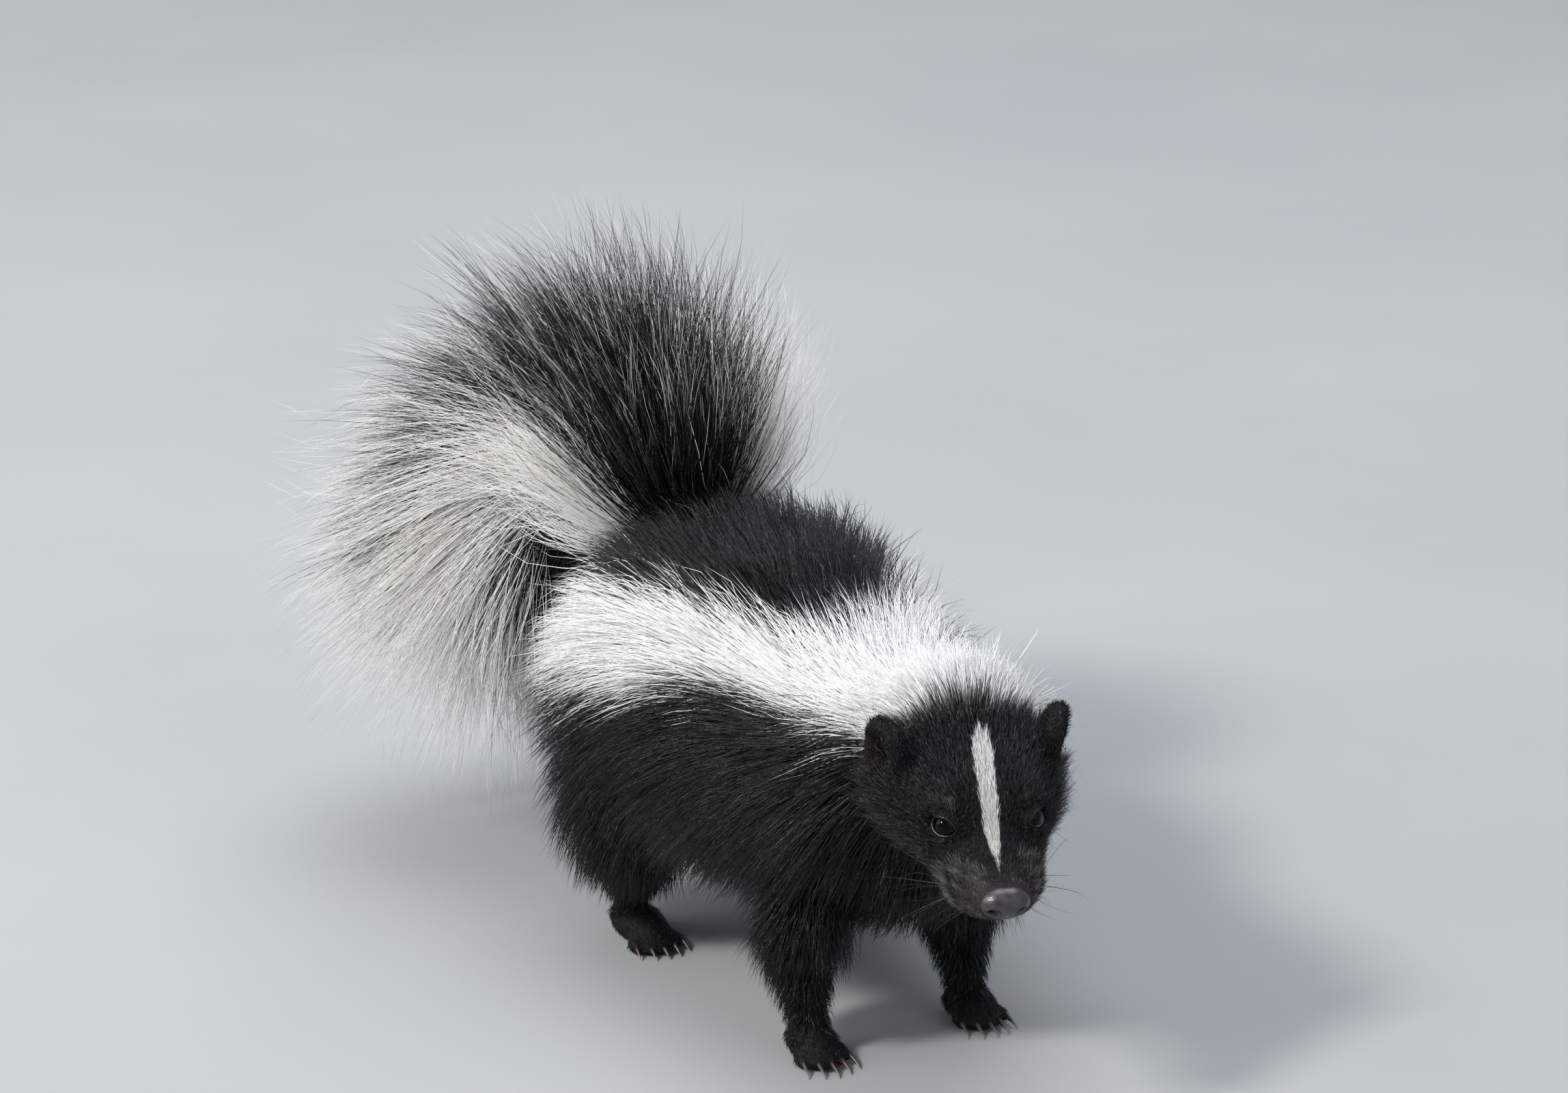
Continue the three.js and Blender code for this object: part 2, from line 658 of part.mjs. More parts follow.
// Trunk and thighs as one body with all their locks, to be parted by the cuts
function coatedTrunk() {
  const sweep = trunk();
  const thighs = [-1, 1].flatMap((side) => {
    const shift = side < 0 ? 0 : HINDLEG_STEP;
    const sections = moved(side > 0 ? mirrored(HINDLEG_SECTIONS) : HINDLEG_SECTIONS, shift);
    const { start, end } = HAUNCH_LOCKS;
    const rows = side < 0 ? {} : { start: 180 - end, end: 180 - start };
    return [
      legCore(HINDLEG_SECTIONS, side, shift),
      ...lockRows(legSweep(sections), { ...HAUNCH_LOCKS, ...rows }),
    ];
  });
  return joined([
    ...thighs,
    solid(sweep.geometry(22, 18)),
    ...lockRows(sweep, BODY_LOCKS),
    ...lockRows(sweep, NAPE_LOCKS),
    ...lockRows(sweep, BELLY_LOCKS),
  ]);
}

function coatedTail() {
  const sweep = tail();
  return joined([
    solid(sweep.geometry(14, 14)),
    ...lockRows(sweep, TAIL_LOCKS),
    ...lockRows(sweep, TAIL_END_LOCKS),
  ]);
}

function buildTorso(body) {
  return largest(
    beyond(body.subtract(joined(legRoom())), TAIL_CUTS[0], -1).trimByPlane(
      NECK_PLANE.clone().negate().toArray(),
      -neckCutAt + GAP / 2,
    ),
  );
}

function buildNeck(body) {
  const head = headRoom().trimByPlane(
    MUZZLE.toArray(),
    headPoint(HEAD_CUT - GAP / 2, 0).dot(MUZZLE),
  );
  const lean = radians(THROAT_CUT.lean);
  const behind = MUZZLE.clone()
    .multiplyScalar(-Math.cos(lean))
    .addScaledVector(CROWN, -Math.sin(lean));
  const ears = [-1, 1].map((side) => earShell(side, GAP));
  return largest(
    body
      .subtract(joined([...legRoom(), head, ...ears]))
      .trimByPlane(NECK_PLANE.toArray(), neckCutAt + GAP / 2)
      .trimByPlane(behind.toArray(), headPoint(THROAT_CUT.along, THROAT_CUT.lift).dot(behind)),
  );
}

function buildTail(fan, length) {
  const [root, middle, end] = TAIL_CUTS;
  const past = beyond(fan, root, 1);
  if (length === "base") return largest(beyond(past, middle, -1));
  return largest(beyond(beyond(past, middle, 1), end, length === "tip" ? 1 : -1));
}

// The scene graph
const finishes = {
  black: new THREE.MeshStandardMaterial({ color: BLACK_FUR, roughness: 0.8, metalness: 0 }),
  white: new THREE.MeshStandardMaterial({ color: WHITE_FUR, roughness: 0.85, metalness: 0 }),
  grey: new THREE.MeshStandardMaterial({ color: GREY_FUR, roughness: 0.85, metalness: 0 }),
  eye: new THREE.MeshStandardMaterial({ color: EYE_BROWN, roughness: 0.06, metalness: 0 }),
  nose: new THREE.MeshStandardMaterial({ color: NOSE_SKIN, roughness: 0.4, metalness: 0 }),
  claw: new THREE.MeshStandardMaterial({ color: CLAW_HORN, roughness: 0.45, metalness: 0 }),
};

const group = new THREE.Group();

function addNode(name, made, finish) {
  const mesh = made.getMesh();
  const geometry = new THREE.BufferGeometry()
    .setAttribute("position", new THREE.BufferAttribute(new Float32Array(mesh.vertProperties), 3))
    .setIndex(new THREE.BufferAttribute(new Uint32Array(mesh.triVerts), 1));
  geometry.computeVertexNormals();
  const node = new THREE.Mesh(geometry, finish);
  node.name = name;
  group.add(node);
  return node;
}

addNode("head", buildHead(), finishes.black);
addNode("nose", buildNose(), finishes.nose);
const trunkCoat = coatedTrunk();
const tailCoat = coatedTail();
addNode("neck", buildNeck(trunkCoat), finishes.white);
addNode("torso", buildTorso(trunkCoat), finishes.black);
for (const length of ["base", "middle", "tip"]) {
  addNode("tail_" + length, buildTail(tailCoat, length), finishes.grey);
}
for (const [name, side] of [["right", -1], ["left", 1]]) {
  const foreStep = side < 0 ? FORELEG_STEP : 0;
  const hindStep = side < 0 ? 0 : HINDLEG_STEP;
  addNode("ear_" + name, buildEar(side), finishes.black);
  addNode("eye_" + name, eyeBall(side), finishes.eye);
  addNode("foreleg_" + name, buildForeleg(side, foreStep), finishes.black);
  addNode("hindleg_" + name, buildHindleg(trunkCoat, side, hindStep), finishes.black);
  addNode(
    "forepaw_" + name,
    buildPaw(FORELEG_SECTIONS, ANKLE_CUT_FORE, FOREPAW, CLAW.fore, side, foreStep),
    finishes.black,
  );
  addNode(
    "hindpaw_" + name,
    buildPaw(HINDLEG_SECTIONS, ANKLE_CUT_HIND, HINDPAW, CLAW.hind, side, hindStep),
    finishes.black,
  );
}

// The origin goes on the floor under the middle of the whole animal
const reach = new THREE.Box3().setFromObject(group);
group.position.set(-(reach.min.x + reach.max.x) / 2, -(reach.min.y + reach.max.y) / 2, -reach.min.z);

export default group;
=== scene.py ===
"""Looks of a young striped skunk, life size: one skin, a coat of solid hairs, eyes, nose and claws.

Sizes are millimetres in the animal's own frame, where it faces -Y and stands on z = 0, and are
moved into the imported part's frame as each mesh is made.
"""

import logging
import math
from dataclasses import dataclass, fields
from enum import Enum
from typing import Sequence

import bmesh
import bpy
import numpy as np
from mathutils import Matrix, Vector
from mathutils.kdtree import KDTree


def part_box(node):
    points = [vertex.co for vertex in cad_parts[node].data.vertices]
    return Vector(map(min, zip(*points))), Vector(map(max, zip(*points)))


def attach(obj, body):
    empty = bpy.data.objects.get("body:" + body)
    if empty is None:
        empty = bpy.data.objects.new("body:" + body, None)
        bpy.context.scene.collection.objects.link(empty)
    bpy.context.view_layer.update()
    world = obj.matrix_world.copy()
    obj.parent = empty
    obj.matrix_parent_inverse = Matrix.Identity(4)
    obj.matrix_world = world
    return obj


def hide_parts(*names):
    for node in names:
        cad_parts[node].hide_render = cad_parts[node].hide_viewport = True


log = logging.getLogger("skunk")

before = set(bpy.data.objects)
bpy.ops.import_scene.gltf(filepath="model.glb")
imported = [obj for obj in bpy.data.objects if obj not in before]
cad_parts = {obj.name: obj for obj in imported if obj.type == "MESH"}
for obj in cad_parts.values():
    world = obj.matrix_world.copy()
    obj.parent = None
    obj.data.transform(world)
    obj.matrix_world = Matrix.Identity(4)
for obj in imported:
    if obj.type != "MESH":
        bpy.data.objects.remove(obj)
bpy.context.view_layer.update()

Array = np.ndarray
Mesh = bmesh.types.BMesh
Material = bpy.types.Material
Tree = bpy.types.NodeTree
Socket = bpy.types.NodeSocket


def unit(v: Array) -> Array:
    """Vectors of length one, along the last axis."""
    return v / np.maximum(np.linalg.norm(v, axis=-1, keepdims=True), 1e-9)


def dot(a: Array, b: Array) -> Array:
    """Dot products along the last axis."""
    return (a * b).sum(-1)


def smooth(low: float, high: float, x: Array) -> Array:
    """A smooth step of x from 0 at low to 1 at high."""
    u = np.clip((x - low) / (high - low), 0, 1)
    return u * u * (3 - 2 * u)


def mixed(a: Array, b: Array, share: Array) -> Array:
    """Values between a and b."""
    return a + (b - a) * share


def table(x: Array, places: Sequence[float], values: Sequence[float]) -> Array:
    """Values read off a short table, straight between its places."""
    return np.interp(x, places, values)


def nearest(points: Array, asked: Array) -> Array:
    """The number of the point that lies nearest to each one asked for."""
    tree = KDTree(len(points))
    for i, p in enumerate(points):
        tree.insert(p, i)
    tree.balance()
    return np.array([tree.find(p)[1] for p in asked])


def corners(bm: Mesh) -> Array:
    """The places of a mesh's corners."""
    return np.array([v.co[:] for v in bm.verts])


def moved(bm: Mesh, spots: Array) -> Mesh:
    """Puts a mesh's corners in new places."""
    for v, p in zip(bm.verts, spots):
        v.co = p
    return bm


def shaped(bm: Mesh, spots: Array) -> Mesh:
    """Puts a closed mesh's corners in new places, with its faces outward."""
    moved(bm, spots)
    bmesh.ops.recalc_face_normals(bm, faces=bm.faces)
    return bm


def off_top(angle: Array) -> Array:
    """Degrees from a swept body's upper line, alike on both sides."""
    return np.degrees(np.abs(np.arctan2(np.cos(angle), np.sin(angle))))


# ---------------------------------------------------------------- frame of the head and the animal


@dataclass(frozen=True)
class HeadFrame:
    """The head's own directions. It hangs on the middle of the line between the ears."""

    middle: tuple[float, float, float] = (-3.0, -104.0, 118.0)
    turn: float = 11.0
    pitch: float = 32.0

    @property
    def axes(self) -> tuple[Array, Array, Array]:
        """Directions to the animal's left, along the muzzle and up to the crown."""
        turn, pitch = math.radians(self.turn), math.radians(self.pitch)
        muzzle = np.array(
            [
                -math.sin(turn) * math.cos(pitch),
                -math.cos(turn) * math.cos(pitch),
                -math.sin(pitch),
            ]
        )
        left = np.array([math.cos(turn), -math.sin(turn), 0.0])
        crown = -np.cross(left, muzzle)
        return left, muzzle, crown if crown[2] > 0 else -crown

    def point(self, across: Array, along: Array, lift: Array) -> Array:
        """A point of the animal's frame from its place in the head."""
        left, muzzle, crown = self.axes
        spot = np.stack(np.broadcast_arrays(across, along, lift), -1).astype(float)
        return np.array(self.middle) + spot @ np.stack([left, muzzle, crown])

    def local(self, p: Array) -> Array:
        """Across, along and lift of points of the animal's frame."""
        return (p - np.array(self.middle)) @ np.stack(self.axes).T


HEAD = HeadFrame()
LEFT, MUZZLE, CROWN = HEAD.axes
EYE_ACROSS, EYE_ALONG, EYE_LIFT, EYE_RADIUS = 12.8, 26.6, -4.6, 4.3


def frame_shift() -> Array:
    """Where the animal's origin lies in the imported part, in millimetres, from its right eye."""
    low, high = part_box("eye_right")
    eye = np.array((low + high) / 2) * 1000
    return eye - HEAD.point(-EYE_ACROSS, EYE_ALONG, EYE_LIFT)


SHIFT = frame_shift()


def placed(p: Array) -> Array:
    """Millimetres in the animal's frame as metres in the part's frame."""
    return (p + SHIFT) / 1000


@dataclass(frozen=True)
class EyeFrame:
    """Place and directions of one eye; side is 1 on the animal's left."""

    side: int
    axis: tuple[float, float, float] = (0.65, 0.52, 0.55)
    deeper: float = 1.3
    outer: float = 0.8

    @property
    def middle(self) -> Array:
        """The eyeball's centre, a little deeper than the solid's, as the fur stands round it."""
        spot = HEAD.point(self.side * (EYE_ACROSS + self.outer), EYE_ALONG, EYE_LIFT)
        return spot - self.deeper * self.axes[2]

    @property
    def axes(self) -> tuple[Array, Array, Array]:
        """Directions level towards the temple, up and out of the eye."""
        across, along, lift = self.axis
        out = unit(self.side * across * LEFT + along * MUZZLE + lift * CROWN)
        level = unit(np.cross(CROWN, out)) * self.side
        return level, unit(np.cross(out, level)) * self.side, out

    def local(self, p: Array) -> Array:
        """Level, up and out of points, from the eye's centre."""
        return (p - self.middle) @ np.stack(self.axes).T


@dataclass(frozen=True)
class Opening:
    """The almond between the lids. Its corner at the temple is the higher one."""

    half_width: float
    half_height: float
    tilt: float
    power: float = 1.75

    def reach(self, local: Array) -> Array:
        """How far out a point lies, as a share of the almond's edge."""
        c, s = math.cos(math.radians(self.tilt)), math.sin(math.radians(self.tilt))
        x = local[..., 0] * c + local[..., 1] * s
        y = -local[..., 0] * s + local[..., 1] * c
        u = (np.abs(x) / self.half_width) ** self.power
        return (u + (np.abs(y) / self.half_height) ** self.power) ** (1 / self.power)

    def edge(self, angle: Array) -> Array:
        """Level and up of the edge at an angle round it."""
        c, s = math.cos(math.radians(self.tilt)), math.sin(math.radians(self.tilt))
        x, y = (
            half * np.sign(way) * np.abs(way) ** (2 / self.power)
            for half, way in ((self.half_width, np.cos(angle)), (self.half_height, np.sin(angle)))
        )
        return np.stack([x * c - y * s, x * s + y * c], -1)


# The head turns to its right, and the left eye is a little more closed
OPENINGS = {-1: Opening(4.0, 2.6, -8.0), 1: Opening(3.6, 2.2, -14.0)}


# ---------------------------------------------------------------- swept bodies


class Profile:
    """A size that runs smoothly through its values, one a section, and never overshoots them."""

    def __init__(self, values: Array) -> None:
        """Takes the squared sizes."""
        rise = np.diff(values)
        self.values = values
        self.slopes = np.zeros(len(values))
        self.slopes[0], self.slopes[-1] = rise[0], rise[-1]
        for i in range(1, len(rise)):
            a, b = rise[i - 1], rise[i]
            self.slopes[i] = 2 * a * b / (a + b) if a * b > 0 else 0.0

    def at(self, t: Array) -> Array:
        """The size itself at t from 0 to 1."""
        place = np.clip(t, 0, 1) * (len(self.values) - 1)
        i = np.minimum(place.astype(int), len(self.values) - 2)
        u = place - i
        a, b = self.values[i], self.values[i + 1]
        p, q = self.slopes[i], self.slopes[i + 1]
        value = a + (b - a) * u * u * (3 - 2 * u) + p * u * (1 - u) ** 2 - q * u * u * (1 - u)
        return np.sqrt(np.maximum(value, 0))


class SweptBody:
    """A body swept along a smooth line of sections: (x, y, z, half width, height up, height down).

    Its surface is point(t, angle), with the angle from the animal's left (0) over the top.
    """

    def __init__(self, sections: Sequence[Sequence[float]], top: Array, inset: float = 0.0) -> None:
        """Args:
        sections: from one end to the other; the ends have no width.
        top: the direction that the body's top looks to.
        inset: how much smaller than the sections the body is made.
        """
        rows = np.array(sections, float)
        self.spots = rows[:, :3]
        sizes = rows[:, 3:]
        sizes = np.where(sizes > 0, np.maximum(sizes - inset, 1.5), 0)
        self.half, self.up, self.down = (Profile(sizes[:, i] ** 2) for i in range(3))
        self.top = np.array(top, float)

    def line(self, t: Array) -> Array:
        """Points of the smooth line through the sections."""
        spots = self.spots
        place = np.clip(t, 0, 1) * (len(spots) - 1)
        i = np.minimum(place.astype(int), len(spots) - 2)
        w = (place - i)[:, None]
        all_spots = np.vstack([2 * spots[0] - spots[1], spots, 2 * spots[-1] - spots[-2]])
        a, b, c, d = (all_spots[i + k] for k in range(4))
        ab, bc, cd = (
            np.sqrt(np.linalg.norm(q - p, axis=1, keepdims=True))
            for p, q in ((a, b), (b, c), (c, d))
        )
        start = ((b - a) / ab - (c - a) / (ab + bc) + (c - b) / bc) * bc
        stop = ((c - b) / bc - (d - b) / (bc + cd) + (d - c) / cd) * bc
        return (
            b
            + start * w
            + (-3 * b + 3 * c - 2 * start - stop) * w**2
            + (2 * b - 2 * c + start + stop) * w**3
        )

    def forward(self, t: Array) -> Array:
        """Direction of the line."""
        return unit(
            self.line(np.clip(t + 1e-3, 0, 1)) - self.line(np.clip(t - 1e-3, 0, 1))
        )

    def point(self, t: Array, angle: Array) -> Array:
        """Points of the surface."""
        forward = self.forward(t)
        side = unit(np.cross(forward, self.top))
        top = np.cross(side, forward)
        rise = np.where(np.sin(angle) > 0, self.up.at(t), self.down.at(t))
        return (
            self.line(t)
            + side * (np.cos(angle) * self.half.at(t))[:, None]
            + top * (np.sin(angle) * rise)[:, None]
        )

    def made(self, sides: int, rings: int) -> Mesh:
        """A sphere whose rings become the sections."""
        bm = bmesh.new()
        bmesh.ops.create_uvsphere(bm, u_segments=sides, v_segments=rings, radius=1)
        at = corners(bm)
        return shaped(bm, self.point((1 - at[:, 2]) / 2, np.arctan2(at[:, 1], at[:, 0])))


def ball(
    middle: Array, axes: Sequence[Array], sizes: Sequence[float], sides: int = 24, rings: int = 16
) -> Mesh:
    """An ellipsoid on three directions.

    Args:
        middle: its centre.
        axes: its three directions.
        sizes: its half sizes along them.
        sides: faces round it.
        rings: faces from pole to pole.

    Returns:
        The ellipsoid's mesh.
    """
    bm = bmesh.new()
    bmesh.ops.create_uvsphere(bm, u_segments=sides, v_segments=rings, radius=1)
    return shaped(bm, corners(bm) * np.array(sizes) @ np.stack(axes) + middle)


WORLD_AXES = (np.array([1.0, 0, 0]), np.array([0, 1.0, 0]), np.array([0, 0, 1.0]))
UPWARD = WORLD_AXES[2]


def joined(parts: Sequence[Mesh]) -> Mesh:
    """Several meshes as one, and frees them."""
    whole = bmesh.new()
    for bm in parts:
        mesh = bpy.data.meshes.new("part")
        bm.to_mesh(mesh)
        bm.free()
        whole.from_mesh(mesh)
        bpy.data.meshes.remove(mesh)
    return whole


# ---------------------------------------------------------------- finishes


def linear(hex_colour: str) -> tuple[float, float, float, float]:
    """An sRGB hex colour as linear RGBA."""
    parts = [int(hex_colour[i : i + 2], 16) / 255 for i in (1, 3, 5)]
    r, g, b = (c / 12.92 if c <= 0.04045 else ((c + 0.055) / 1.055) ** 2.4 for c in parts)
    return (r, g, b, 1.0)


def node(
    tree: Tree, kind: str, settings: dict | None = None, links: dict | None = None
) -> bpy.types.Node:
    """Adds a node.

    Args:
        tree: the material's node tree.
        kind: the node's type name.
        settings: attributes by name, and values of inputs by name or number.
        links: the output that feeds each input, by name or number.

    Returns:
        The node.
    """
    made = tree.nodes.new(kind)
    for key, value in (settings or {}).items():
        if isinstance(key, int) or key in made.inputs:
            made.inputs[key].default_value = value
        else:
            setattr(made, key, value)
    for key, source in (links or {}).items():
        tree.links.new(source, made.inputs[key])
    return made


def new_material(name: str) -> tuple[Material, Tree]:
    """An empty node material with its output, which is the first node."""
    material = bpy.data.materials.new(name)
    material.use_nodes = True
    tree = material.node_tree
    tree.nodes.clear()
    tree.nodes.new("ShaderNodeOutputMaterial")
    return material, tree


def finish_with(tree: Tree, settings: dict, links: dict) -> None:
    """Ends a material in one Principled shader."""
    shader = node(tree, "ShaderNodeBsdfPrincipled", settings, links)
    tree.links.new(shader.outputs[0], tree.nodes[0].inputs["Surface"])


def own_place(tree: Tree) -> Socket:
    """The place on the object, in metres."""
    return node(tree, "ShaderNodeTexCoord").outputs["Object"]


def noise(tree: Tree, scale: float, detail: float) -> Socket:
    """An even noise from 0 to 1, with scale waves a metre."""
    settings = {"Scale": scale, "Detail": detail}
    return node(tree, "ShaderNodeTexNoise", settings, {"Vector": own_place(tree)}).outputs["Fac"]


def bumped(tree: Tree, height: Socket, strength: float, distance: float, into: bool = False) -> Socket:
    """Small relief; into presses the high places in."""
    settings = {"Strength": strength, "Distance": distance, "invert": into}
    return node(tree, "ShaderNodeBump", settings, {"Height": height}).outputs[0]


def reading(tree: Tree, name: str) -> Socket:
    """A number that the piece holds at each of its corners."""
    return node(tree, "ShaderNodeAttribute", {"attribute_name": name}).outputs["Fac"]


def ramp(
    tree: Tree, fac: Socket, stops: Sequence[tuple[float, str]]
) -> Socket:
    """A colour that follows fac through stops of (place, hex colour)."""
    made = node(tree, "ShaderNodeValToRGB", {}, {"Fac": fac})
    elements = made.color_ramp.elements
    elements[0].position, elements[0].color = stops[0][0], linear(stops[0][1])
    elements[1].position, elements[1].color = stops[-1][0], linear(stops[-1][1])
    for place, colour in stops[1:-1]:
        elements.new(place).color = linear(colour)
    return made.outputs["Color"]


def blended(tree: Tree, fac: Socket, a: Socket, b: Socket) -> Socket:
    """Two colours mixed by fac."""
    mix = node(tree, "ShaderNodeMix", {"data_type": "RGBA"}, {0: fac, 6: a, 7: b})
    return mix.outputs[2]


def shaded(tree: Tree, share: float, a: Socket, b: Socket) -> Socket:
    """A colour multiplied by another, by a fixed share."""
    settings = {"data_type": "RGBA", "blend_type": "MULTIPLY", 0: share}
    return node(tree, "ShaderNodeMix", settings, {6: a, 7: b}).outputs[2]


@dataclass(frozen=True)
class FurFinish:
    """Guard hair: smooth cuticle with a long, soft gleam; black, white or creamy by the hair."""

    name: str = "Skunk_guard_hair"
    # The last two black colours are grey hairs: partly the coat's own variation, partly a painted highlight
    # for the sheen on black fur.
    black: tuple[str, ...] = ("#030305", "#0e0d10", "#221d20", "#5a565b")
    white: tuple[str, str] = ("#fafafa", "#efe5d2")
    roughness: float = 0.3
    streak_mm: float = 0.9

    def material(self) -> Material:
        """Tone picks black or white along each hair, warmth its cream, and draw with a streak noise varies
        hairs; the lightest black hairs are partly real variation, partly a painted sheen.
        """
        material, tree = new_material(self.name)
        streak = noise(tree, 1000 / self.streak_mm, 2.0)
        times = {"operation": "MULTIPLY"}
        lightness_and_sheen = node(tree, "ShaderNodeMath", times, {0: reading(tree, "draw"), 1: streak}).outputs[0]
        lighter = times | {1: 1.7, "use_clamp": True}
        lightness_and_sheen = node(tree, "ShaderNodeMath", lighter, {0: lightness_and_sheen}).outputs[0]
        # The top of this ramp paints a few black hairs grey as a painted sheen.
        dark = ramp(tree, lightness_and_sheen, list(zip((0.0, 0.5, 0.74, 0.95), self.black)))
        pale = ramp(tree, reading(tree, "warmth"), list(zip((0.0, 1.0), self.white)))
        base = blended(tree, reading(tree, "tone"), dark, pale)
        finish_with(
            tree,
            {"Roughness": self.roughness, "Specular IOR Level": 0.3, "IOR": 1.55},
            {"Base Color": base},
        )
        return material


@dataclass(frozen=True)
class SkinFinish:
    """Skin with its own velvet of hair too short to see singly: dark, or grey under white fur; partly the
    skin's colour, partly painted shade for the gaps between hairs.
    """

    name: str = "Skunk_skin"
    grain_mm: float = 0.45

    def material(self) -> Material:
        """Tone picks dark or pale skin, bare the muzzle's and ears' own colour."""
        material, tree = new_material(self.name)
        grain = noise(tree, 1000 / self.grain_mm, 4.0)
        base = ramp(tree, grain, [(0.3, "#060507"), (0.7, "#121013")])
        for name, low, high in (
            # Pale skin under white fur is grey: partly skin colour, partly painted shade of the deep coat.
            ("tone", "#8d8882", "#b9b4ac"),
            ("bare", "#1f181a", "#43363b"),
            ("rust", "#140a08", "#2e1a13"),
        ):
            colour = ramp(tree, grain, [(0.3, low), (0.7, high)])
            base = blended(tree, reading(tree, name), base, colour)
        finish_with(
            tree,
            {"Roughness": 0.65, "Specular IOR Level": 0.22},
            {"Base Color": base, "Normal": bumped(tree, grain, 0.5, 0.0002)},
        )
        return material


@dataclass(frozen=True)
class NoseFinish:
    """Rhinarium: damp hairless leather in small raised cells, so it gleams softly on top."""

    name: str = "Nose_leather"
    cell_mm: float = 0.42

    def material(self) -> Material:
        """Cells from a Voronoi pattern; deep shows where the nostrils go in, and there the leather is
        painted near black as shade inside the nostrils.
        """
        material, tree = new_material(self.name)
        scale = {"Scale": 1000 / self.cell_mm}
        pattern = node(tree, "ShaderNodeTexVoronoi", scale, {"Vector": own_place(tree)})
        bump = bumped(tree, pattern.outputs["Distance"], 0.45, 0.00012, into=True)
        blotch = noise(tree, 420.0, 3.0)
        base = ramp(tree, blotch, [(0.25, "#1b1618"), (0.55, "#332b30"), (0.8, "#4e444a")])
        # Painted shade: the leather goes near black inside the nostrils.
        hollow = ramp(tree, blotch, [(0.0, "#070506"), (1.0, "#120d0e")])
        base = blended(tree, reading(tree, "deep"), base, hollow)
        rough = node(
            tree,
            "ShaderNodeMapRange",
            {"From Min": 0.2, "From Max": 0.8, "To Min": 0.26, "To Max": 0.4},
            {"Value": blotch},
        ).outputs[0]
        finish_with(
            tree,
            {"Specular IOR Level": 0.75},
            {"Base Color": base, "Roughness": rough, "Normal": bump},
        )
        return material


@dataclass(frozen=True)
class EyeFinish:
    """Dark eye under a wet cornea: near-black pupil, brown iris, all mirror smooth."""

    name: str = "Eye_cornea"

    def material(self) -> Material:
        """The rings follow the angle from the eye's axis, held as aim."""
        material, tree = new_material(self.name)
        fleck = noise(tree, 2600.0, 2.0)
        rings = ramp(
            tree,
            reading(tree, "aim"),
            [(0.0, "#020202"), (0.4, "#020202"), (0.46, "#0b0605"), (0.62, "#080504"), (0.7, "#050303")],
        )
        light = ramp(tree, fleck, [(0.3, "#c9b8b0"), (0.7, "#ffffff")])
        finish_with(
            tree,
            {"Roughness": 0.04, "IOR": 1.4, "Specular IOR Level": 0.19},
            {"Base Color": shaded(tree, 1.0, rings, light)},
        )
        return material


@dataclass(frozen=True)
class LidFinish:
    """Lid margin: bare, faintly moist, pale grey skin."""

    name: str = "Lid_margin"

    def material(self) -> Material:
        """Tone is 1 where the margin is pale, below the eye."""
        material, tree = new_material(self.name)
        grain = noise(tree, 1500.0, 3.0)
        dark = ramp(tree, grain, [(0.3, "#0d0b0c"), (0.7, "#231f21")])
        pale = ramp(tree, grain, [(0.3, "#4c494d"), (0.7, "#96929a")])
        base = blended(tree, reading(tree, "tone"), dark, pale)
        bump = bumped(tree, grain, 0.3, 0.0001)
        finish_with(tree, {"Roughness": 0.42}, {"Base Color": base, "Normal": bump})
        return material


@dataclass(frozen=True)
class ClawFinish:
    """Claw horn: dark keratin that thins to a paler, glossy tip with lengthwise growth lines."""

    name: str = "Claw_horn"

    def material(self) -> Material:
        """Tone runs from the root (0) to the tip (1)."""
        material, tree = new_material(self.name)
        lines = noise(tree, 1700.0, 3.0)
        horn = ramp(tree, reading(tree, "tone"), [(0.0, "#2b2320"), (0.55, "#5b4d41"), (1.0, "#9c8d79")])
        light = ramp(tree, lines, [(0.3, "#b9b0a6"), (0.7, "#ffffff")])
        base = shaded(tree, 0.6, horn, light)
        bump = bumped(tree, lines, 0.25, 0.0001)
        finish_with(tree, {"Roughness": 0.32}, {"Base Color": base, "Normal": bump})
        return material


@dataclass(frozen=True)
class FloorFinish:
    """Matt painted board, pale and nearly even, with a roller's fine stipple."""

    name: str = "Floor_paint"

    def material(self) -> Material:
        """Faint blotches and a small bump."""
        material, tree = new_material(self.name)
        base = ramp(tree, noise(tree, 3.0, 4.0), [(0.3, "#a2a5a6"), (0.7, "#a9abac")])
        bump = bumped(tree, noise(tree, 700.0, 2.0), 0.08, 0.0003)
        finish_with(tree, {"Roughness": 0.75}, {"Base Color": base, "Normal": bump})
        return material


# ---------------------------------------------------------------- meshes


def hold(mesh: bpy.types.Mesh, name: str, values: Array) -> None:
    """Keeps one number at each corner of a mesh."""
    layer = mesh.attributes.new(name, "FLOAT", "POINT")
    layer.data.foreach_set("value", np.asarray(values, np.float32).ravel())


def piece(
    name: str,
    bm: Mesh,
    material: Material,
    stands_for: Sequence[str] = (),
) -> bpy.types.Object:
    """Makes an object of a mesh in animal millimetres, puts it under the root body with its finish, and
    hides the CAD nodes that it replaces.

    Args:
        name: the piece's name.
        bm: its mesh, which is freed.
        material: its finish.
        stands_for: the CAD nodes that it replaces.

    Returns:
        The object, at the origin, in metres.
    """
    mesh = bpy.data.meshes.new(name)
    bm.to_mesh(mesh)
    bm.free()
    at = np.zeros(len(mesh.vertices) * 3, np.float32)
    mesh.vertices.foreach_get("co", at)
    mesh.vertices.foreach_set("co", placed(at.reshape(-1, 3)).astype(np.float32).ravel())
    return shown(name, mesh, material, stands_for)


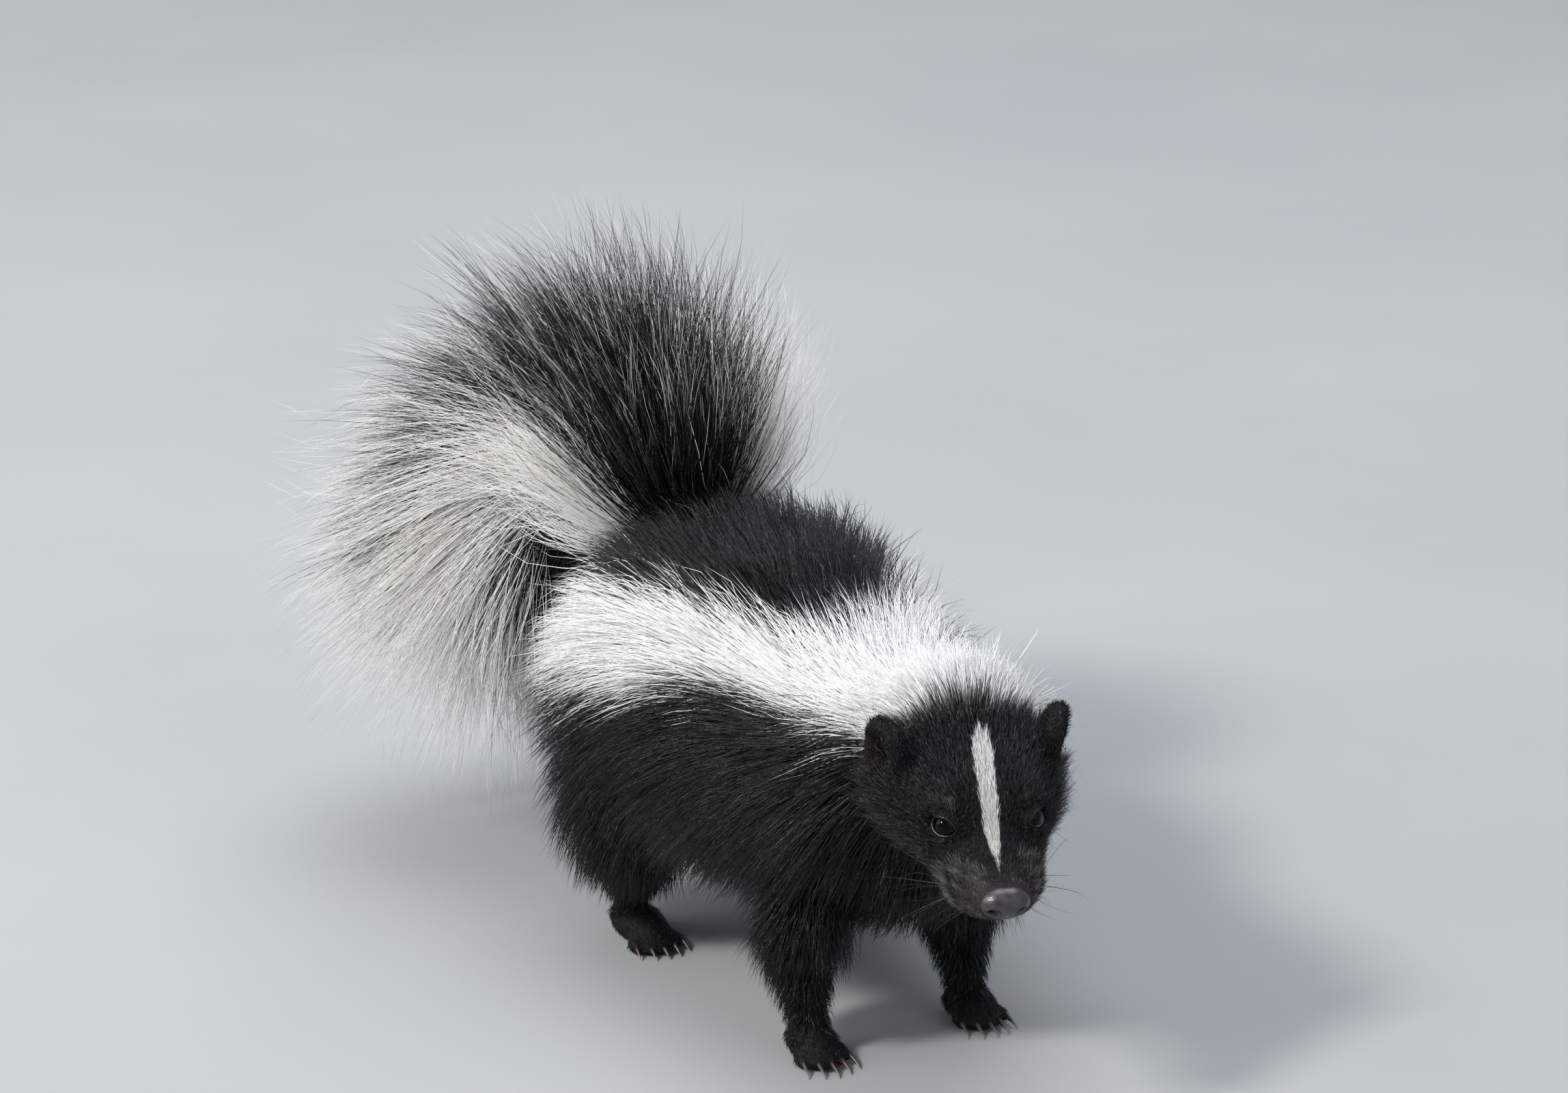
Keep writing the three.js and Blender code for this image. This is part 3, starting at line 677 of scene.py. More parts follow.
def shown(
    name: str,
    mesh: bpy.types.Mesh,
    material: Material,
    stands_for: Sequence[str] = (),
) -> bpy.types.Object:
    """Puts a finished mesh in the scene, as piece() does."""
    mesh.update()
    mesh.polygons.foreach_set("use_smooth", np.ones(len(mesh.polygons), bool))
    mesh.materials.append(material)
    made = bpy.data.objects.new(name, mesh)
    bpy.context.scene.collection.objects.link(made)
    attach(made, "root")
    if stands_for:
        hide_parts(*stands_for)
    log.info("%s: %d faces", name, len(mesh.polygons))
    return made


# ---------------------------------------------------------------- the skin


class Region(Enum):
    """Parts of the skin, each with its own unwrap."""

    TRUNK = 0
    TAIL = 1
    HEAD = 2
    EARS = 3
    LEGS = 4
    PAWS = 5


def within(region: Array, *parts: Region) -> Array:
    """Whether each corner or hair lies in one of the parts."""
    return np.isin(region, [part.value for part in parts])


def mouth_line(local: Array) -> Array:
    """How far points of the head lie above the line of the mouth."""
    return local[:, 2] + 20.6 - (local[:, 1] - 19) * 1.2 / 41


@dataclass(frozen=True)
class FaceForm:
    """A swelling or hollow of the face, alike on both sides."""

    across: float
    along: float
    lift: float
    wide: float
    high: float


@dataclass(frozen=True)
class Anatomy:
    """Sizes of the body under the coat, section by section, as (place, half, up, down)."""

    trunk: tuple = (
        (-4.5, -106, 108, 0, 0, 0),
        (-1.5, -93, 113, 25, 17, 20),
        (-1.5, -76, 101, 31, 25, 27),
        (-1, -55, 88, 38, 33, 40),
        (0, -30, 80, 43, 40, 44),
        (0, 4, 79, 48, 45, 46),
        (0, 38, 83, 54, 51, 50),
        (0, 68, 86, 57, 52, 50),
        (0, 92, 90, 50, 44, 40),
        (0, 108, 94, 34, 31, 28),
        (0, 120, 97, 0, 0, 0),
    )
    tail: tuple = (
        (0, 92, 108, 0, 0, 0),
        (0, 104, 118, 13, 13, 13),
        (0, 122, 138, 11, 11, 11),
        (-3, 146, 149, 9.5, 9.5, 9.5),
        (-11, 170, 145, 8.5, 8.5, 8.5),
        (-22, 188, 128, 7.5, 7.5, 7.5),
        (-32, 198, 106, 6, 6, 6),
        (-38, 203, 86, 0, 0, 0),
    )
    # Along, lift, half width, up, down, and the coat's depth there
    skull: tuple = (
        (-24, -7, 0, 0, 0, 0),
        (-16, -7, 22, 15, 17, 3.5),
        (-5, -8, 28, 17.5, 20, 3.5),
        (7, -9, 29.5, 17.5, 20.5, 3.2),
        (19, -10.5, 26, 15, 18, 2.2),
        (29, -12, 19.5, 11.5, 14, 1.4),
        (38, -13, 14.5, 9, 11.5, 0.9),
        (46, -13.5, 12, 7.5, 9.5, 0.7),
        (51, -13.5, 9, 6, 7.5, 0.5),
        (54, -13.5, 0, 0, 0, 0),
    )
    jaw: tuple = (
        (4, -24, 0, 0, 0, 0),
        (12, -24, 13, 8, 4.5, 2),
        (26, -24, 10.5, 6, 4, 1.2),
        (38, -23.5, 7.5, 4.5, 3, 0.6),
        (45, -22.5, 0, 0, 0, 0),
    )
    foreleg: tuple = (
        (-22, -34, 78, 0, 0, 0),
        (-25, -37, 68, 13, 15, 15),
        (-29, -40, 50, 14, 15, 15),
        (-30, -37, 34, 11.5, 12, 12),
        (-30, -40, 20, 9, 8.5, 8.5),
        (-30, -43, 10, 8, 7.5, 7.5),
        (-30, -44, 3, 0, 0, 0),
    )
    hindleg: tuple = (
        (-30, 66, 86, 0, 0, 0),
        (-36, 66, 74, 21, 25, 26),
        (-40, 64, 54, 20, 26, 26),
        (-41, 64, 36, 15, 19, 19),
        (-39, 68, 22, 10.5, 11, 11),
        (-38, 72, 12, 8.5, 8.5, 8.5),
        (-38, 73, 4, 0, 0, 0),
    )
    face: tuple = (
        FaceForm(10.5, 19, 2, 6.5, 1.2),
        FaceForm(13.2, 21.5, -0.5, 4.5, 1.5),
        FaceForm(8.6, 31.5, -4, 4.6, -1.5),
        FaceForm(8, 44, -18, 6.5, 2.2),
        FaceForm(9.5, 41.5, -14, 6.5, 1.1),
        FaceForm(12, 33.5, -17, 7, 1.8),
        FaceForm(11.5, 34, -8, 5, -0.7),
        FaceForm(0, 28, 1, 6, -0.5),
        FaceForm(25, 10, -18, 10, 1.6),
    )
    trunk_coat: float = 6.0
    leg_coat: float = 2.5
    fore_step: float = -6.0
    hind_step: float = 9.0


@dataclass(frozen=True)
class Paw:
    """One kind of paw: across, heel, toes, half width, height, claw length and girth."""

    x: float
    heel: float
    toes: float
    half: float
    tall: float
    claw: float
    claw_thick: float = 1.1

    def toe(self, number: int, side: int, shift: float) -> tuple[float, float, float]:
        """Across, ahead and spread of toe 0 to 4."""
        spread = number / 2 - 1
        x = side * -self.x + spread * (self.half - 1.2)
        return x, self.toes + shift + 1.5 + 3.5 * spread * spread, spread


FOREPAW = Paw(-30, -34, -58, 8.5, 7, 7.5)
HINDPAW = Paw(-38, 82, 46, 9, 7, 4.5, 1.0)


@dataclass
class Ear:
    """A rounded ear, open forwards and outwards, with a hollow cup."""

    side: int
    spread: float = 27.5
    along: float = -1.0
    lift: float = -2.6
    lean: float = 14.0
    flare: float = 70.0
    wide: float = 9.0
    deep: float = 5.0
    tall: float = 12.0

    @property
    def axes(self) -> tuple[Array, Array, Array]:
        """Directions across the ear, out of its cup and up to its tip."""
        flare, lean = math.radians(self.flare), math.radians(self.lean)
        out = MUZZLE * math.cos(flare) + LEFT * self.side * math.sin(flare)
        top = CROWN * math.cos(lean) + LEFT * self.side * math.sin(lean)
        across = unit(np.cross(out, top))
        return across, out, unit(np.cross(across, out))

    @property
    def middle(self) -> Array:
        """The ear's centre."""
        return HEAD.point(self.side * self.spread, self.along, self.lift)

    def local(self, p: Array) -> Array:
        """Across, out and up of points, from the ear's centre."""
        return (p - self.middle) @ np.stack(self.axes).T

    def made(self) -> Mesh:
        """An ellipsoid whose open side is pressed in to a cup with a rolled rim."""
        across, out, up = self.axes
        bm = ball(self.middle, (across, out, up), (self.wide, self.deep, self.tall), 40, 32)
        at = self.local(corners(bm))
        at[:, :2] *= np.sqrt(1 + np.maximum(at[:, 2:] / self.tall, 0) ** 2)
        far = np.hypot(at[:, 0] / (self.wide - 1.6), (at[:, 2] - 0.8) / (self.tall - 2.4))
        press = np.where(at[:, 1] > 0, smooth(1.0, 0.45, far), 0)
        at[:, 1] -= press * (at[:, 1] + self.deep * 0.35)
        return moved(bm, at @ np.stack(self.axes) + self.middle)

    def cup(self, p: Array, soft: float, behind: float) -> Array:
        """How far in the ear's hollow points lie, from 0 at its rim to 1 where it is soft inwards."""
        at = self.local(p)
        far = np.hypot(at[:, 0] / 7.4, (at[:, 2] + 1) / 9.5)
        return smooth(1.0, soft, far) * (at[:, 1] > -behind)


class Skin:
    """One closed skin from nose to tail, with the folds of the face."""

    def __init__(self, anatomy: Anatomy) -> None:
        """Lays out the swept bodies that the skin wraps."""
        a = self.anatomy = anatomy
        self.trunk = SweptBody(a.trunk, UPWARD, a.trunk_coat)
        self.tail = SweptBody(a.tail, UPWARD)
        self.skull = self._of_head(a.skull)
        self.jaw = self._of_head(a.jaw)
        self.legs = []
        for side in (-1, 1):
            fore = self._leg(a.foreleg, side, a.fore_step if side < 0 else 0.0, 1.0)
            hind = self._leg(a.hindleg, side, 0.0 if side < 0 else a.hind_step, 1.6)
            self.legs += [fore, hind]
        self.ears = [Ear(-1, spread=26.0, tall=12.6), Ear(1)]
        self.eyes = [EyeFrame(-1), EyeFrame(1)]

    @staticmethod
    def _of_head(rows: Sequence[Sequence[float]]) -> SweptBody:
        """A body of the head, smaller by the coat's depth at each section."""
        sections = []
        for along, lift, half, up, down, coat in rows:
            spot = HEAD.point(0.0, along, lift)
            sections.append((*spot, half - coat, up - coat, down - coat))
        return SweptBody(sections, CROWN)

    def _leg(
        self, rows: Sequence[Sequence[float]], side: int, shift: float, coat: float
    ) -> SweptBody:
        """One leg, mirrored for the left side and moved by its step."""
        sections = [(x if side < 0 else -x, y + shift, z, *s) for x, y, z, *s in rows]
        return SweptBody(sections, np.array([0, -1.0, 0]), self.anatomy.leg_coat * coat * 0.8)

    def feet(self) -> list[tuple[str, Paw, int, float]]:
        """Name, kind, side and step of each paw."""
        a = self.anatomy
        return [
            ("forepaw_right", FOREPAW, -1, a.fore_step),
            ("forepaw_left", FOREPAW, 1, 0.0),
            ("hindpaw_right", HINDPAW, -1, 0.0),
            ("hindpaw_left", HINDPAW, 1, a.hind_step),
        ]

    def _face(self) -> Mesh:
        """The skull with the forms of the face."""
        bm = self.skull.made(64, 56)
        p = corners(bm)
        local = HEAD.local(p)
        push = np.zeros(len(p))
        folded = local * np.where(local[:, :1] < 0, [-1, 1, 1], [1, 1, 1])
        for f in self.anatomy.face:
            far = np.linalg.norm(folded - np.array([f.across, f.along, f.lift]), axis=1)
            push += f.high * np.exp(-((far / f.wide) ** 2))
        middle = HEAD.point(0.0, np.minimum(local[:, 1], 40), -12.0)
        return moved(bm, p + unit(p - middle) * push[:, None])

    def _paw(self, paw: Paw, side: int, shift: float) -> list[Mesh]:
        """Palm and toes."""
        x = side * -paw.x
        middle_y = (paw.heel + paw.toes) / 2 + shift
        long = (paw.heel - paw.toes) / 2
        palm = (paw.half - 0.8, long - 0.6, paw.tall - 0.8)
        parts = [ball(np.array([x, middle_y, paw.tall * 0.66]), WORLD_AXES, palm)]
        for i in range(5):
            spot = np.array([*paw.toe(i, side, shift)[:2], 2.5])
            parts.append(ball(spot, WORLD_AXES, (2.3, 4.8, 2.8), 12, 10))
        return parts

    def _wrapped(self) -> bpy.types.Mesh:
        """All bodies under one even net of small faces."""
        parts = [self.trunk.made(64, 56), self.tail.made(32, 48), self._face()]
        parts.append(self.jaw.made(32, 24))
        parts += [leg.made(32, 32) for leg in self.legs]
        parts += [ear.made() for ear in self.ears]
        for _, paw, side, shift in self.feet():
            parts += self._paw(paw, side, shift)
        for eye in self.eyes:
            parts.append(ball(eye.middle, eye.axes, (4.6, 4.5, 4.7), 24, 16))
        bm = joined(parts)
        mesh = bpy.data.meshes.new("bodies")
        bm.to_mesh(mesh)
        bm.free()
        mesh.transform(Matrix.Scale(0.001, 4))
        bodies = bpy.data.objects.new("bodies", mesh)
        bpy.context.scene.collection.objects.link(bodies)
        wrap = bodies.modifiers.new("wrap", "REMESH")
        wrap.mode = "VOXEL"
        wrap.voxel_size = 0.00135
        graph = bpy.context.evaluated_depsgraph_get()
        made = bpy.data.meshes.new_from_object(bodies.evaluated_get(graph))
        bpy.data.objects.remove(bodies)
        made.transform(Matrix.Scale(1000, 4))
        return made

    def build(self) -> "SkinMap":
        """Wraps the bodies, smooths them and works the folds of the face in.

        Returns:
            The skin's mesh with what the coat needs to know at each of its corners.
        """
        wrapped = self._wrapped()
        bm = bmesh.new()
        bm.from_mesh(wrapped)
        bpy.data.meshes.remove(wrapped)
        for _ in range(4):
            bmesh.ops.smooth_vert(
                bm, verts=bm.verts, factor=0.5, use_axis_x=True, use_axis_y=True, use_axis_z=True
            )
        for reach in (1.0, 0.72):
            near = self._near_features(HEAD.local(corners(bm)), reach)
            bm.verts.ensure_lookup_table()
            edges = [e for e in bm.edges if near[e.verts[0].index] and near[e.verts[1].index]]
            bmesh.ops.subdivide_edges(bm, edges=edges, cuts=1, use_grid_fill=True, smooth=0.4)
            bm.verts.index_update()
        bmesh.ops.triangulate(bm, faces=[f for f in bm.faces if len(f.verts) > 4])
        bm.normal_update()
        self._fold_face(bm)
        for v in bm.verts:
            v.co.z = max(v.co.z, 0.0)
        bm.normal_update()
        return SkinMap(self, bm)

    def _near_features(self, local: Array, reach: float) -> Array:
        """Whether points of the head lie close enough to its folds to need small faces."""
        muzzle = (local[:, 1] > 30 + 4 * (1 - reach)) & (local[:, 2] < 2)
        for side in (-1, 1):
            eye = np.array([side * EYE_ACROSS, EYE_ALONG, EYE_LIFT])
            muzzle |= np.linalg.norm(local - eye, axis=1) < 10 * reach
        return muzzle

    def _fold_face(self, bm: Mesh) -> None:
        """Opens the lids round the eyes, and draws the line of the mouth and the lips."""
        p = corners(bm)
        n = np.array([v.normal[:] for v in bm.verts])
        for eye in self.eyes:
            local = eye.local(p)
            reach = OPENINGS[eye.side].reach(local)
            flat = np.hypot(local[:, 0], local[:, 1])
            close = (local[:, 2] > 0) & (flat < 8) & (local[:, 2] < 9)
            shell = np.sqrt(np.maximum((EYE_RADIUS + 0.4) ** 2 - flat**2, 0.5))
            hug = smooth(1.65, 1.08, reach) * close
            depth = mixed(local[:, 2], shell, hug)
            inside = smooth(1.08, 0.9, reach) * close
            depth = mixed(depth, np.sqrt(np.maximum(3.5**2 - flat**2, 0.5)) * 0.8, inside)
            # A faint crease above the upper lid
            crease = np.exp(-(((reach - 1.75) / 0.16) ** 2)) * (local[:, 1] > 0.5) * close
            p += (depth - local[:, 2] - 0.35 * crease)[:, None] * eye.axes[2]
        local = HEAD.local(p)
        along = local[:, 1]
        line = mouth_line(local)
        front = smooth(17, 23, along) * (local[:, 2] < -14)
        groove = -1.2 * np.exp(-((line / 0.55) ** 2)) * front
        lips = 0.35 * np.exp(-(((np.abs(line) - 1.5) / 0.9) ** 2)) * front
        cleft = (along > 49) & (line > 0) & (local[:, 2] < -13)
        philtrum = -0.6 * np.exp(-((local[:, 0] / 0.5) ** 2)) * cleft
        moved(bm, p + n * (groove + lips + philtrum)[:, None])


class SkinMap:
    """The skin's corners with their region, their unwrap and how the coat grows there."""

    def __init__(self, skin: Skin, bm: Mesh) -> None:
        """Reads the mesh and finds each corner's place on the bodies."""
        self.skin = skin
        mesh = self.mesh = bpy.data.meshes.new("skin")
        bm.to_mesh(mesh)
        bm.free()
        mesh.calc_loop_triangles()

        def read(rows: Sequence, name: str, width: int, kind: type) -> Array:
            """One attribute of all rows of the mesh."""
            values = np.zeros(len(rows) * width, kind)
            rows.foreach_get(name, values)
            return values.reshape(-1, width)

        self.p = read(mesh.vertices, "co", 3, np.float32).astype(float)
        self.n = read(mesh.vertices, "normal", 3, np.float32).astype(float)
        self.tris = read(mesh.loop_triangles, "vertices", 3, np.int32)
        self.edges = read(mesh.edges, "vertices", 2, np.int32)
        self._place()
        self.local = HEAD.local(self.p)

    def _place(self) -> None:
        """Nearest body, and place along and round it, for each corner."""
        samples, facts = [], []

        def grid(low: float, high: float, along: int, around: int) -> tuple[Array, Array]:
            """Even steps along and round a body."""
            angles = np.linspace(-math.pi, math.pi, around, endpoint=False)
            t, a = np.meshgrid(np.linspace(low, high, along), angles)
            return t.ravel(), a.ravel()

        def add(spots: Array, region: Region, tile: int, t: Array, a: Array) -> None:
            """Keeps samples of one body's surface, with what is known of them."""
            samples.append(spots)
            facts.append(np.stack([np.full(len(t), region.value), t, a, np.full(len(t), tile)], 1))

        s = self.skin
        bodies = [
            (s.trunk, Region.TRUNK, 0, 60, 64),
            (s.tail, Region.TAIL, 0, 80, 24),
            (s.skull, Region.HEAD, 0, 60, 60),
            (s.jaw, Region.HEAD, 0, 20, 20),
        ]
        bodies += [(leg, Region.LEGS, i, 40, 28) for i, leg in enumerate(s.legs)]
        for body, region, tile, along, around in bodies:
            t, a = grid(0.01, 0.99, along, around)
            add(body.point(t, a), region, tile, t, a)
        t, a = grid(0.03, 0.97, 24, 28)
        flat = np.sin(t * math.pi)
        for i, ear in enumerate(s.ears):
            spot = [flat * np.cos(a) * ear.wide, flat * np.sin(a) * 2.4 - 1, np.cos(t * math.pi) * ear.tall]
            add(np.stack(spot, 1) @ np.stack(ear.axes) + ear.middle, Region.EARS, i, t, a)
        t, a = grid(0.03, 0.97, 24, 24)
        flat = np.sqrt(np.maximum(1 - (2 * t - 1) ** 2, 0))
        for i, (_, paw, side, shift) in enumerate(s.feet()):
            x = side * -paw.x + flat * np.cos(a) * paw.half
            y = paw.heel + shift + (paw.toes - 4 - paw.heel) * t
            add(np.stack([x, y, 3 + flat * np.sin(a) * 4.5], 1), Region.PAWS, i, t, a)
        facts = np.vstack(facts)[nearest(np.vstack(samples), self.p)]
        self.region = facts[:, 0].astype(int)
        self.t, self.angle, self.tile = facts[:, 1:].T

    def spread(self, values: Array, rounds: int) -> Array:
        """Evens values out between neighbours, which blends one region into the next."""
        a, b = self.edges.T
        count = np.bincount(np.concatenate([a, b]), minlength=len(self.p))
        flat = values.reshape(len(self.p), -1).astype(float)
        for _ in range(rounds):
            sums = [np.bincount(a, c[b], len(self.p)) + np.bincount(b, c[a], len(self.p)) for c in flat.T]
            flat = 0.4 * flat + 0.6 * np.stack(sums, 1) / np.maximum(count, 1)[:, None]
        return flat.reshape(values.shape)


# ---------------------------------------------------------------- markings


@dataclass(frozen=True)
class Markings:
    """Where the coat is white: nape and two stripes, the tail's sides, and the blaze.

    Places are shares of the trunk's or tail's line and degrees off its top, or, on the head, in mm.
    """

    saddle_t: tuple = (0.33, 0.39, 0.46, 0.53, 0.62, 0.74, 0.9)
    saddle: tuple = (-12, 2, 17, 29, 39, 46, 50)
    saddle_left: float = 8.0
    stripe_t: tuple = (0.02, 0.1, 0.17, 0.23, 0.3, 0.42, 0.5, 0.58, 0.66, 0.78, 0.92)
    stripe: tuple = (64, 66, 54, 44, 40, 43, 51, 62, 72, 79, 82)
    left_more: float = 20.0
    tail_t: tuple = (0.1, 0.3, 0.5, 0.7, 0.95)
    tail_upper: tuple = (60, 76, 76, 62, 44)
    tail_under: tuple = (140, 134, 124, 132, 150)
    tail_left_more: float = 26.0
    blaze_along: tuple = (1, 4, 8, 17, 31, 37, 44)
    blaze_middle: tuple = (2.2, 1.9, 1.5, 0.4, -0.3, -0.6, -0.7)
    blaze_half: tuple = (0.3, 2.2, 3.0, 2.9, 2.4, 1.7, 0.05)

    def trunk(self, t: Array, angle: Array, wander: Array) -> Array:
        """White (1) or black (0) on the trunk, with edges that wander a little."""
        off = off_top(angle) + wander * 5
        inner = table(t, self.saddle_t, self.saddle)
        inner = inner + self.saddle_left * smooth(0.05, 0.3, np.cos(angle)) * smooth(0.4, 0.5, t)
        outer = table(t, self.stripe_t, self.stripe)
        outer = outer + self.left_more * smooth(0.3, 0.6, np.cos(angle)) * smooth(0.5, 0.3, t)
        return smooth(-2.5, 2.5, off - inner) * smooth(2.5, -2.5, off - outer)

    def tail(self, t: Array, angle: Array, wander: Array) -> Array:
        """White at the root on the tail's sides; its upper and under line are black."""
        off = off_top(angle) + wander * 9
        upper = table(t, self.tail_t, self.tail_upper)
        upper = upper - self.tail_left_more * smooth(0.1, 0.6, np.cos(angle))
        under = table(t, self.tail_t, self.tail_under)
        return smooth(-8, 8, off - upper) * smooth(8, -8, off - under)

    def blaze(self, local: Array, wander: Array) -> Array:
        """White on the line of the forehead and nose."""
        along = local[:, 1]
        off = np.abs(local[:, 0] - table(along, self.blaze_along, self.blaze_middle))
        half = table(along, self.blaze_along, self.blaze_half) + wander * 0.25
        inside = (along > 0.5) & (along < 45.5) & (local[:, 2] > -9)
        return smooth(0.25, -0.25, off - half) * inside

    def nape(self, local: Array, wander: Array) -> Array:
        """White on the back of the head, behind the ears."""
        along = local[:, 1] + wander * 1.2
        return smooth(-6.5, -8.5, along) * smooth(-20, -16, local[:, 2])

    def whole(self, region: Array, t: Array, angle: Array, p: Array, wander: Array) -> Array:
        """White (1) or black (0) anywhere on the animal; ears, legs and paws have no white."""
        white = np.zeros(len(p))
        for part, marked in ((Region.TRUNK, self.trunk), (Region.TAIL, self.tail)):
            mine = within(region, part)
            white[mine] = marked(t[mine], angle[mine], wander[mine])
        mine = within(region, Region.HEAD)
        local = HEAD.local(p[mine])
        white[mine] = np.maximum(self.blaze(local, wander[mine]), self.nape(local, wander[mine]))
        return white


# ---------------------------------------------------------------- the coat


FIELDS = ("length", "width", "lift", "settle", "droop", "sway", "density", "clump")


class CoatMap:
    """How the coat grows at each corner of the skin: its lie and its sizes."""

    def __init__(self, place: SkinMap) -> None:
        """Fills every region and blends them."""
        self.place = place
        count = len(place.p)
        self.lie = np.zeros((count, 3))
        self.values = {name: np.zeros(count) for name in FIELDS}
        self._trunk()
        self._tail()
        self._head()
        self._ears()
        self._legs()
        self._paws()
        lie = place.spread(self.lie, 6)
        self.lie = unit(lie - dot(lie, place.n)[:, None] * place.n)
        packed = place.spread(np.stack([self.values[k] for k in FIELDS], 1), 5)
        for i, name in enumerate(FIELDS):
            self.values[name] = packed[:, i]
        self._bare_spots()

    def _set(self, rows: Array, **values: Array | float) -> None:
        """Writes values for the corners named by rows."""
        for name, value in values.items():
            self.values[name][rows] = value

    def _rows(self, region: Region) -> Array:
        """The corners of one region."""
        return np.where(within(self.place.region, region))[0]

    def _trunk(self) -> None:
        """Long coat: erect on the nape, lying back along the spine, falling down the flanks."""
        rows = self._rows(Region.TRUNK)
        t, angle = self.place.t[rows], self.place.angle[rows]
        height = np.sin(angle)
        side = np.abs(np.cos(angle))
        forward = self.place.skin.trunk.forward(t)
        fall = 0.95 * side * smooth(1.0, 0.4, height) * smooth(0.05, 0.3, t) + 0.1
        self.lie[rows] = forward - UPWARD * fall[:, None]
        # On the nape the hair fans out to both sides
        nape = smooth(0.26, 0.12, t)
        out = self.place.n[rows] * np.array([1, 0.3, 0.3])
        self.lie[rows] += out * (0.8 * nape)[:, None]
        below = smooth(-0.15, -0.75, height)
        length = table(t, (0.03, 0.12, 0.25, 0.45, 0.7, 0.95), (17, 28, 35, 36, 37, 38))
        length = mixed(length, length * 0.72, below)
        lift = table(t, (0.05, 0.15, 0.3, 0.5, 1.0), (60, 56, 46, 38, 34))
        # The coat stands out more on the side that the head turns away from
        lift = lift + 12 * smooth(0.2, 0.8, np.cos(angle)) * smooth(-0.2, 0.4, height)
        self._set(
            rows,
            length=length,
            width=mixed(0.4, 0.5, below),
            lift=mixed(lift, 24.0, below),
            settle=20.0,
            droop=0.2 + 0.22 * side,
            sway=0.26,
            density=mixed(0.92, 0.5, below),
            clump=0.36,
        )

    def _tail(self) -> None:
        """The plume: very long hair that stands out from the tail and bends with its weight."""
        rows = self._rows(Region.TAIL)
        t = self.place.t[rows]
        self.lie[rows] = self.place.skin.tail.forward(t)
        self._set(
            rows,
            length=table(t, (0.08, 0.2, 0.45, 0.8, 1.0), (52, 76, 88, 88, 85)),
            width=0.38,
            lift=table(t, (0.1, 0.3, 0.7, 1.0), (54, 58, 60, 72)),
            settle=22.0,
            droop=table(t, (0.1, 0.5, 1.0), (0.05, 0.22, 0.35)),
            sway=0.34,
            density=table(t, (0.1, 0.3, 0.8, 1.0), (1.3, 1.7, 2.0, 2.5)),
            clump=0.6,
        )

    def _head(self) -> None:
        """Plush: lies back from the nose, round the eyes, and stands a little on the forehead."""
        rows = self._rows(Region.HEAD)
        across, along, lift = self.place.local[rows].T
        lie = -MUZZLE + CROWN * 0.12 + LEFT * (across * 0.018)[:, None]
        cheek = smooth(-4, -16, lift) * smooth(42, 22, along)
        # Behind the ears it grows long and falls over the neck
        behind = smooth(-4, -12, along)
        lie = lie - UPWARD * (0.45 * cheek + 0.9 * behind)[:, None]
        places = (-18, -12, -8, -6, 0, 10, 20, 30, 38, 46, 52)
        length = table(along, places, (24, 21, 14, 8, 5.8, 5.4, 4.6, 3.6, 3.2, 2.6, 1.8))
        length = length * (1 + 1.4 * cheek) * (1 + 0.7 * cheek * smooth(22, 8, along))
        # The lips' hair is longer than that of the nose's bridge
        lips = smooth(-8, -15, lift) * smooth(34, 40, along) * smooth(51, 46, along)
        length = length * (1 + 0.8 * lips)
        stand = smooth(10, -6, along) * smooth(-6, 4, lift) * (1 - behind)
        line = smooth(4.5, 3.0, np.abs(across)) * smooth(0, 6, along) * smooth(-8, -2, lift)
        self.lie[rows] = lie
        self._set(
            rows,
            length=length,
            width=table(along, (-12, 0, 30, 50), (0.36, 0.24, 0.18, 0.14)) * (1 - 0.25 * line),
            lift=30 + 16 * stand + 8 * cheek + 10 * behind - 8 * line,
            settle=14.0 + 8 * behind,
            droop=0.05 + 0.15 * behind,
            sway=0.24,
            density=table(along, (-10, 10, 30, 50), (2.2, 3.0, 4.4, 5.6)) * (1 + 0.5 * line),
            clump=0.22 - 0.14 * line,
        )

    def _ears(self) -> None:
        """Short velvet that runs to the ear's rim; inside, sparse hair from the base upwards."""
        rows = self._rows(Region.EARS)
        for ear in self.place.skin.ears:
            side = np.where(np.sign(self.place.local[rows, 0]) == ear.side)[0]
            mine = rows[side]
            self.lie[mine] = ear.axes[2] + self.place.n[mine] * 0.1
            local = ear.local(self.place.p[mine])
            inside = (dot(self.place.n[mine], ear.axes[1]) > 0.1) & (
                np.hypot(local[:, 0] / (ear.wide - 2), local[:, 2] / (ear.tall - 2)) < 0.95
            )
            self._set(
                mine,
                length=np.where(inside, 2.8, 3.0),
                width=0.24,
                lift=np.where(inside, 26.0, 24.0),
                settle=10.0,
                droop=0.0,
                sway=0.3,
                density=np.where(inside, 2.2, 2.6),
                clump=0.25,
            )

    def _legs(self) -> None:
        """Coat that shortens down the leg."""
        rows = self._rows(Region.LEGS)
        z = self.place.p[rows, 2]
        self.lie[rows] = -UPWARD + np.array([0, 0.35, 0])
        hind = self.place.tile[rows] % 2 == 1
        top = np.where(hind, 30, 24)
        self._set(
            rows,
            length=mixed(6.5, top, smooth(10, 56, z)),
            width=mixed(0.3, 0.44, smooth(12, 50, z)),
            lift=np.where(hind, 26.0, 20.0),
            settle=10.0,
            droop=0.15,
            sway=0.3,
            density=mixed(1.3, 0.65, smooth(12, 50, z)),
            clump=0.3,
        )

    def _paws(self) -> None:
        """The shortest hair, lying towards the toes."""
        rows = self._rows(Region.PAWS)
        self.lie[rows] = np.array([0, -1.0, -0.25])
        self._set(
            rows,
            length=3.2,
            width=0.26,
            lift=16.0,
            settle=6.0,
            droop=0.05,
            sway=0.25,
            density=2.0,
            clump=0.25,
        )

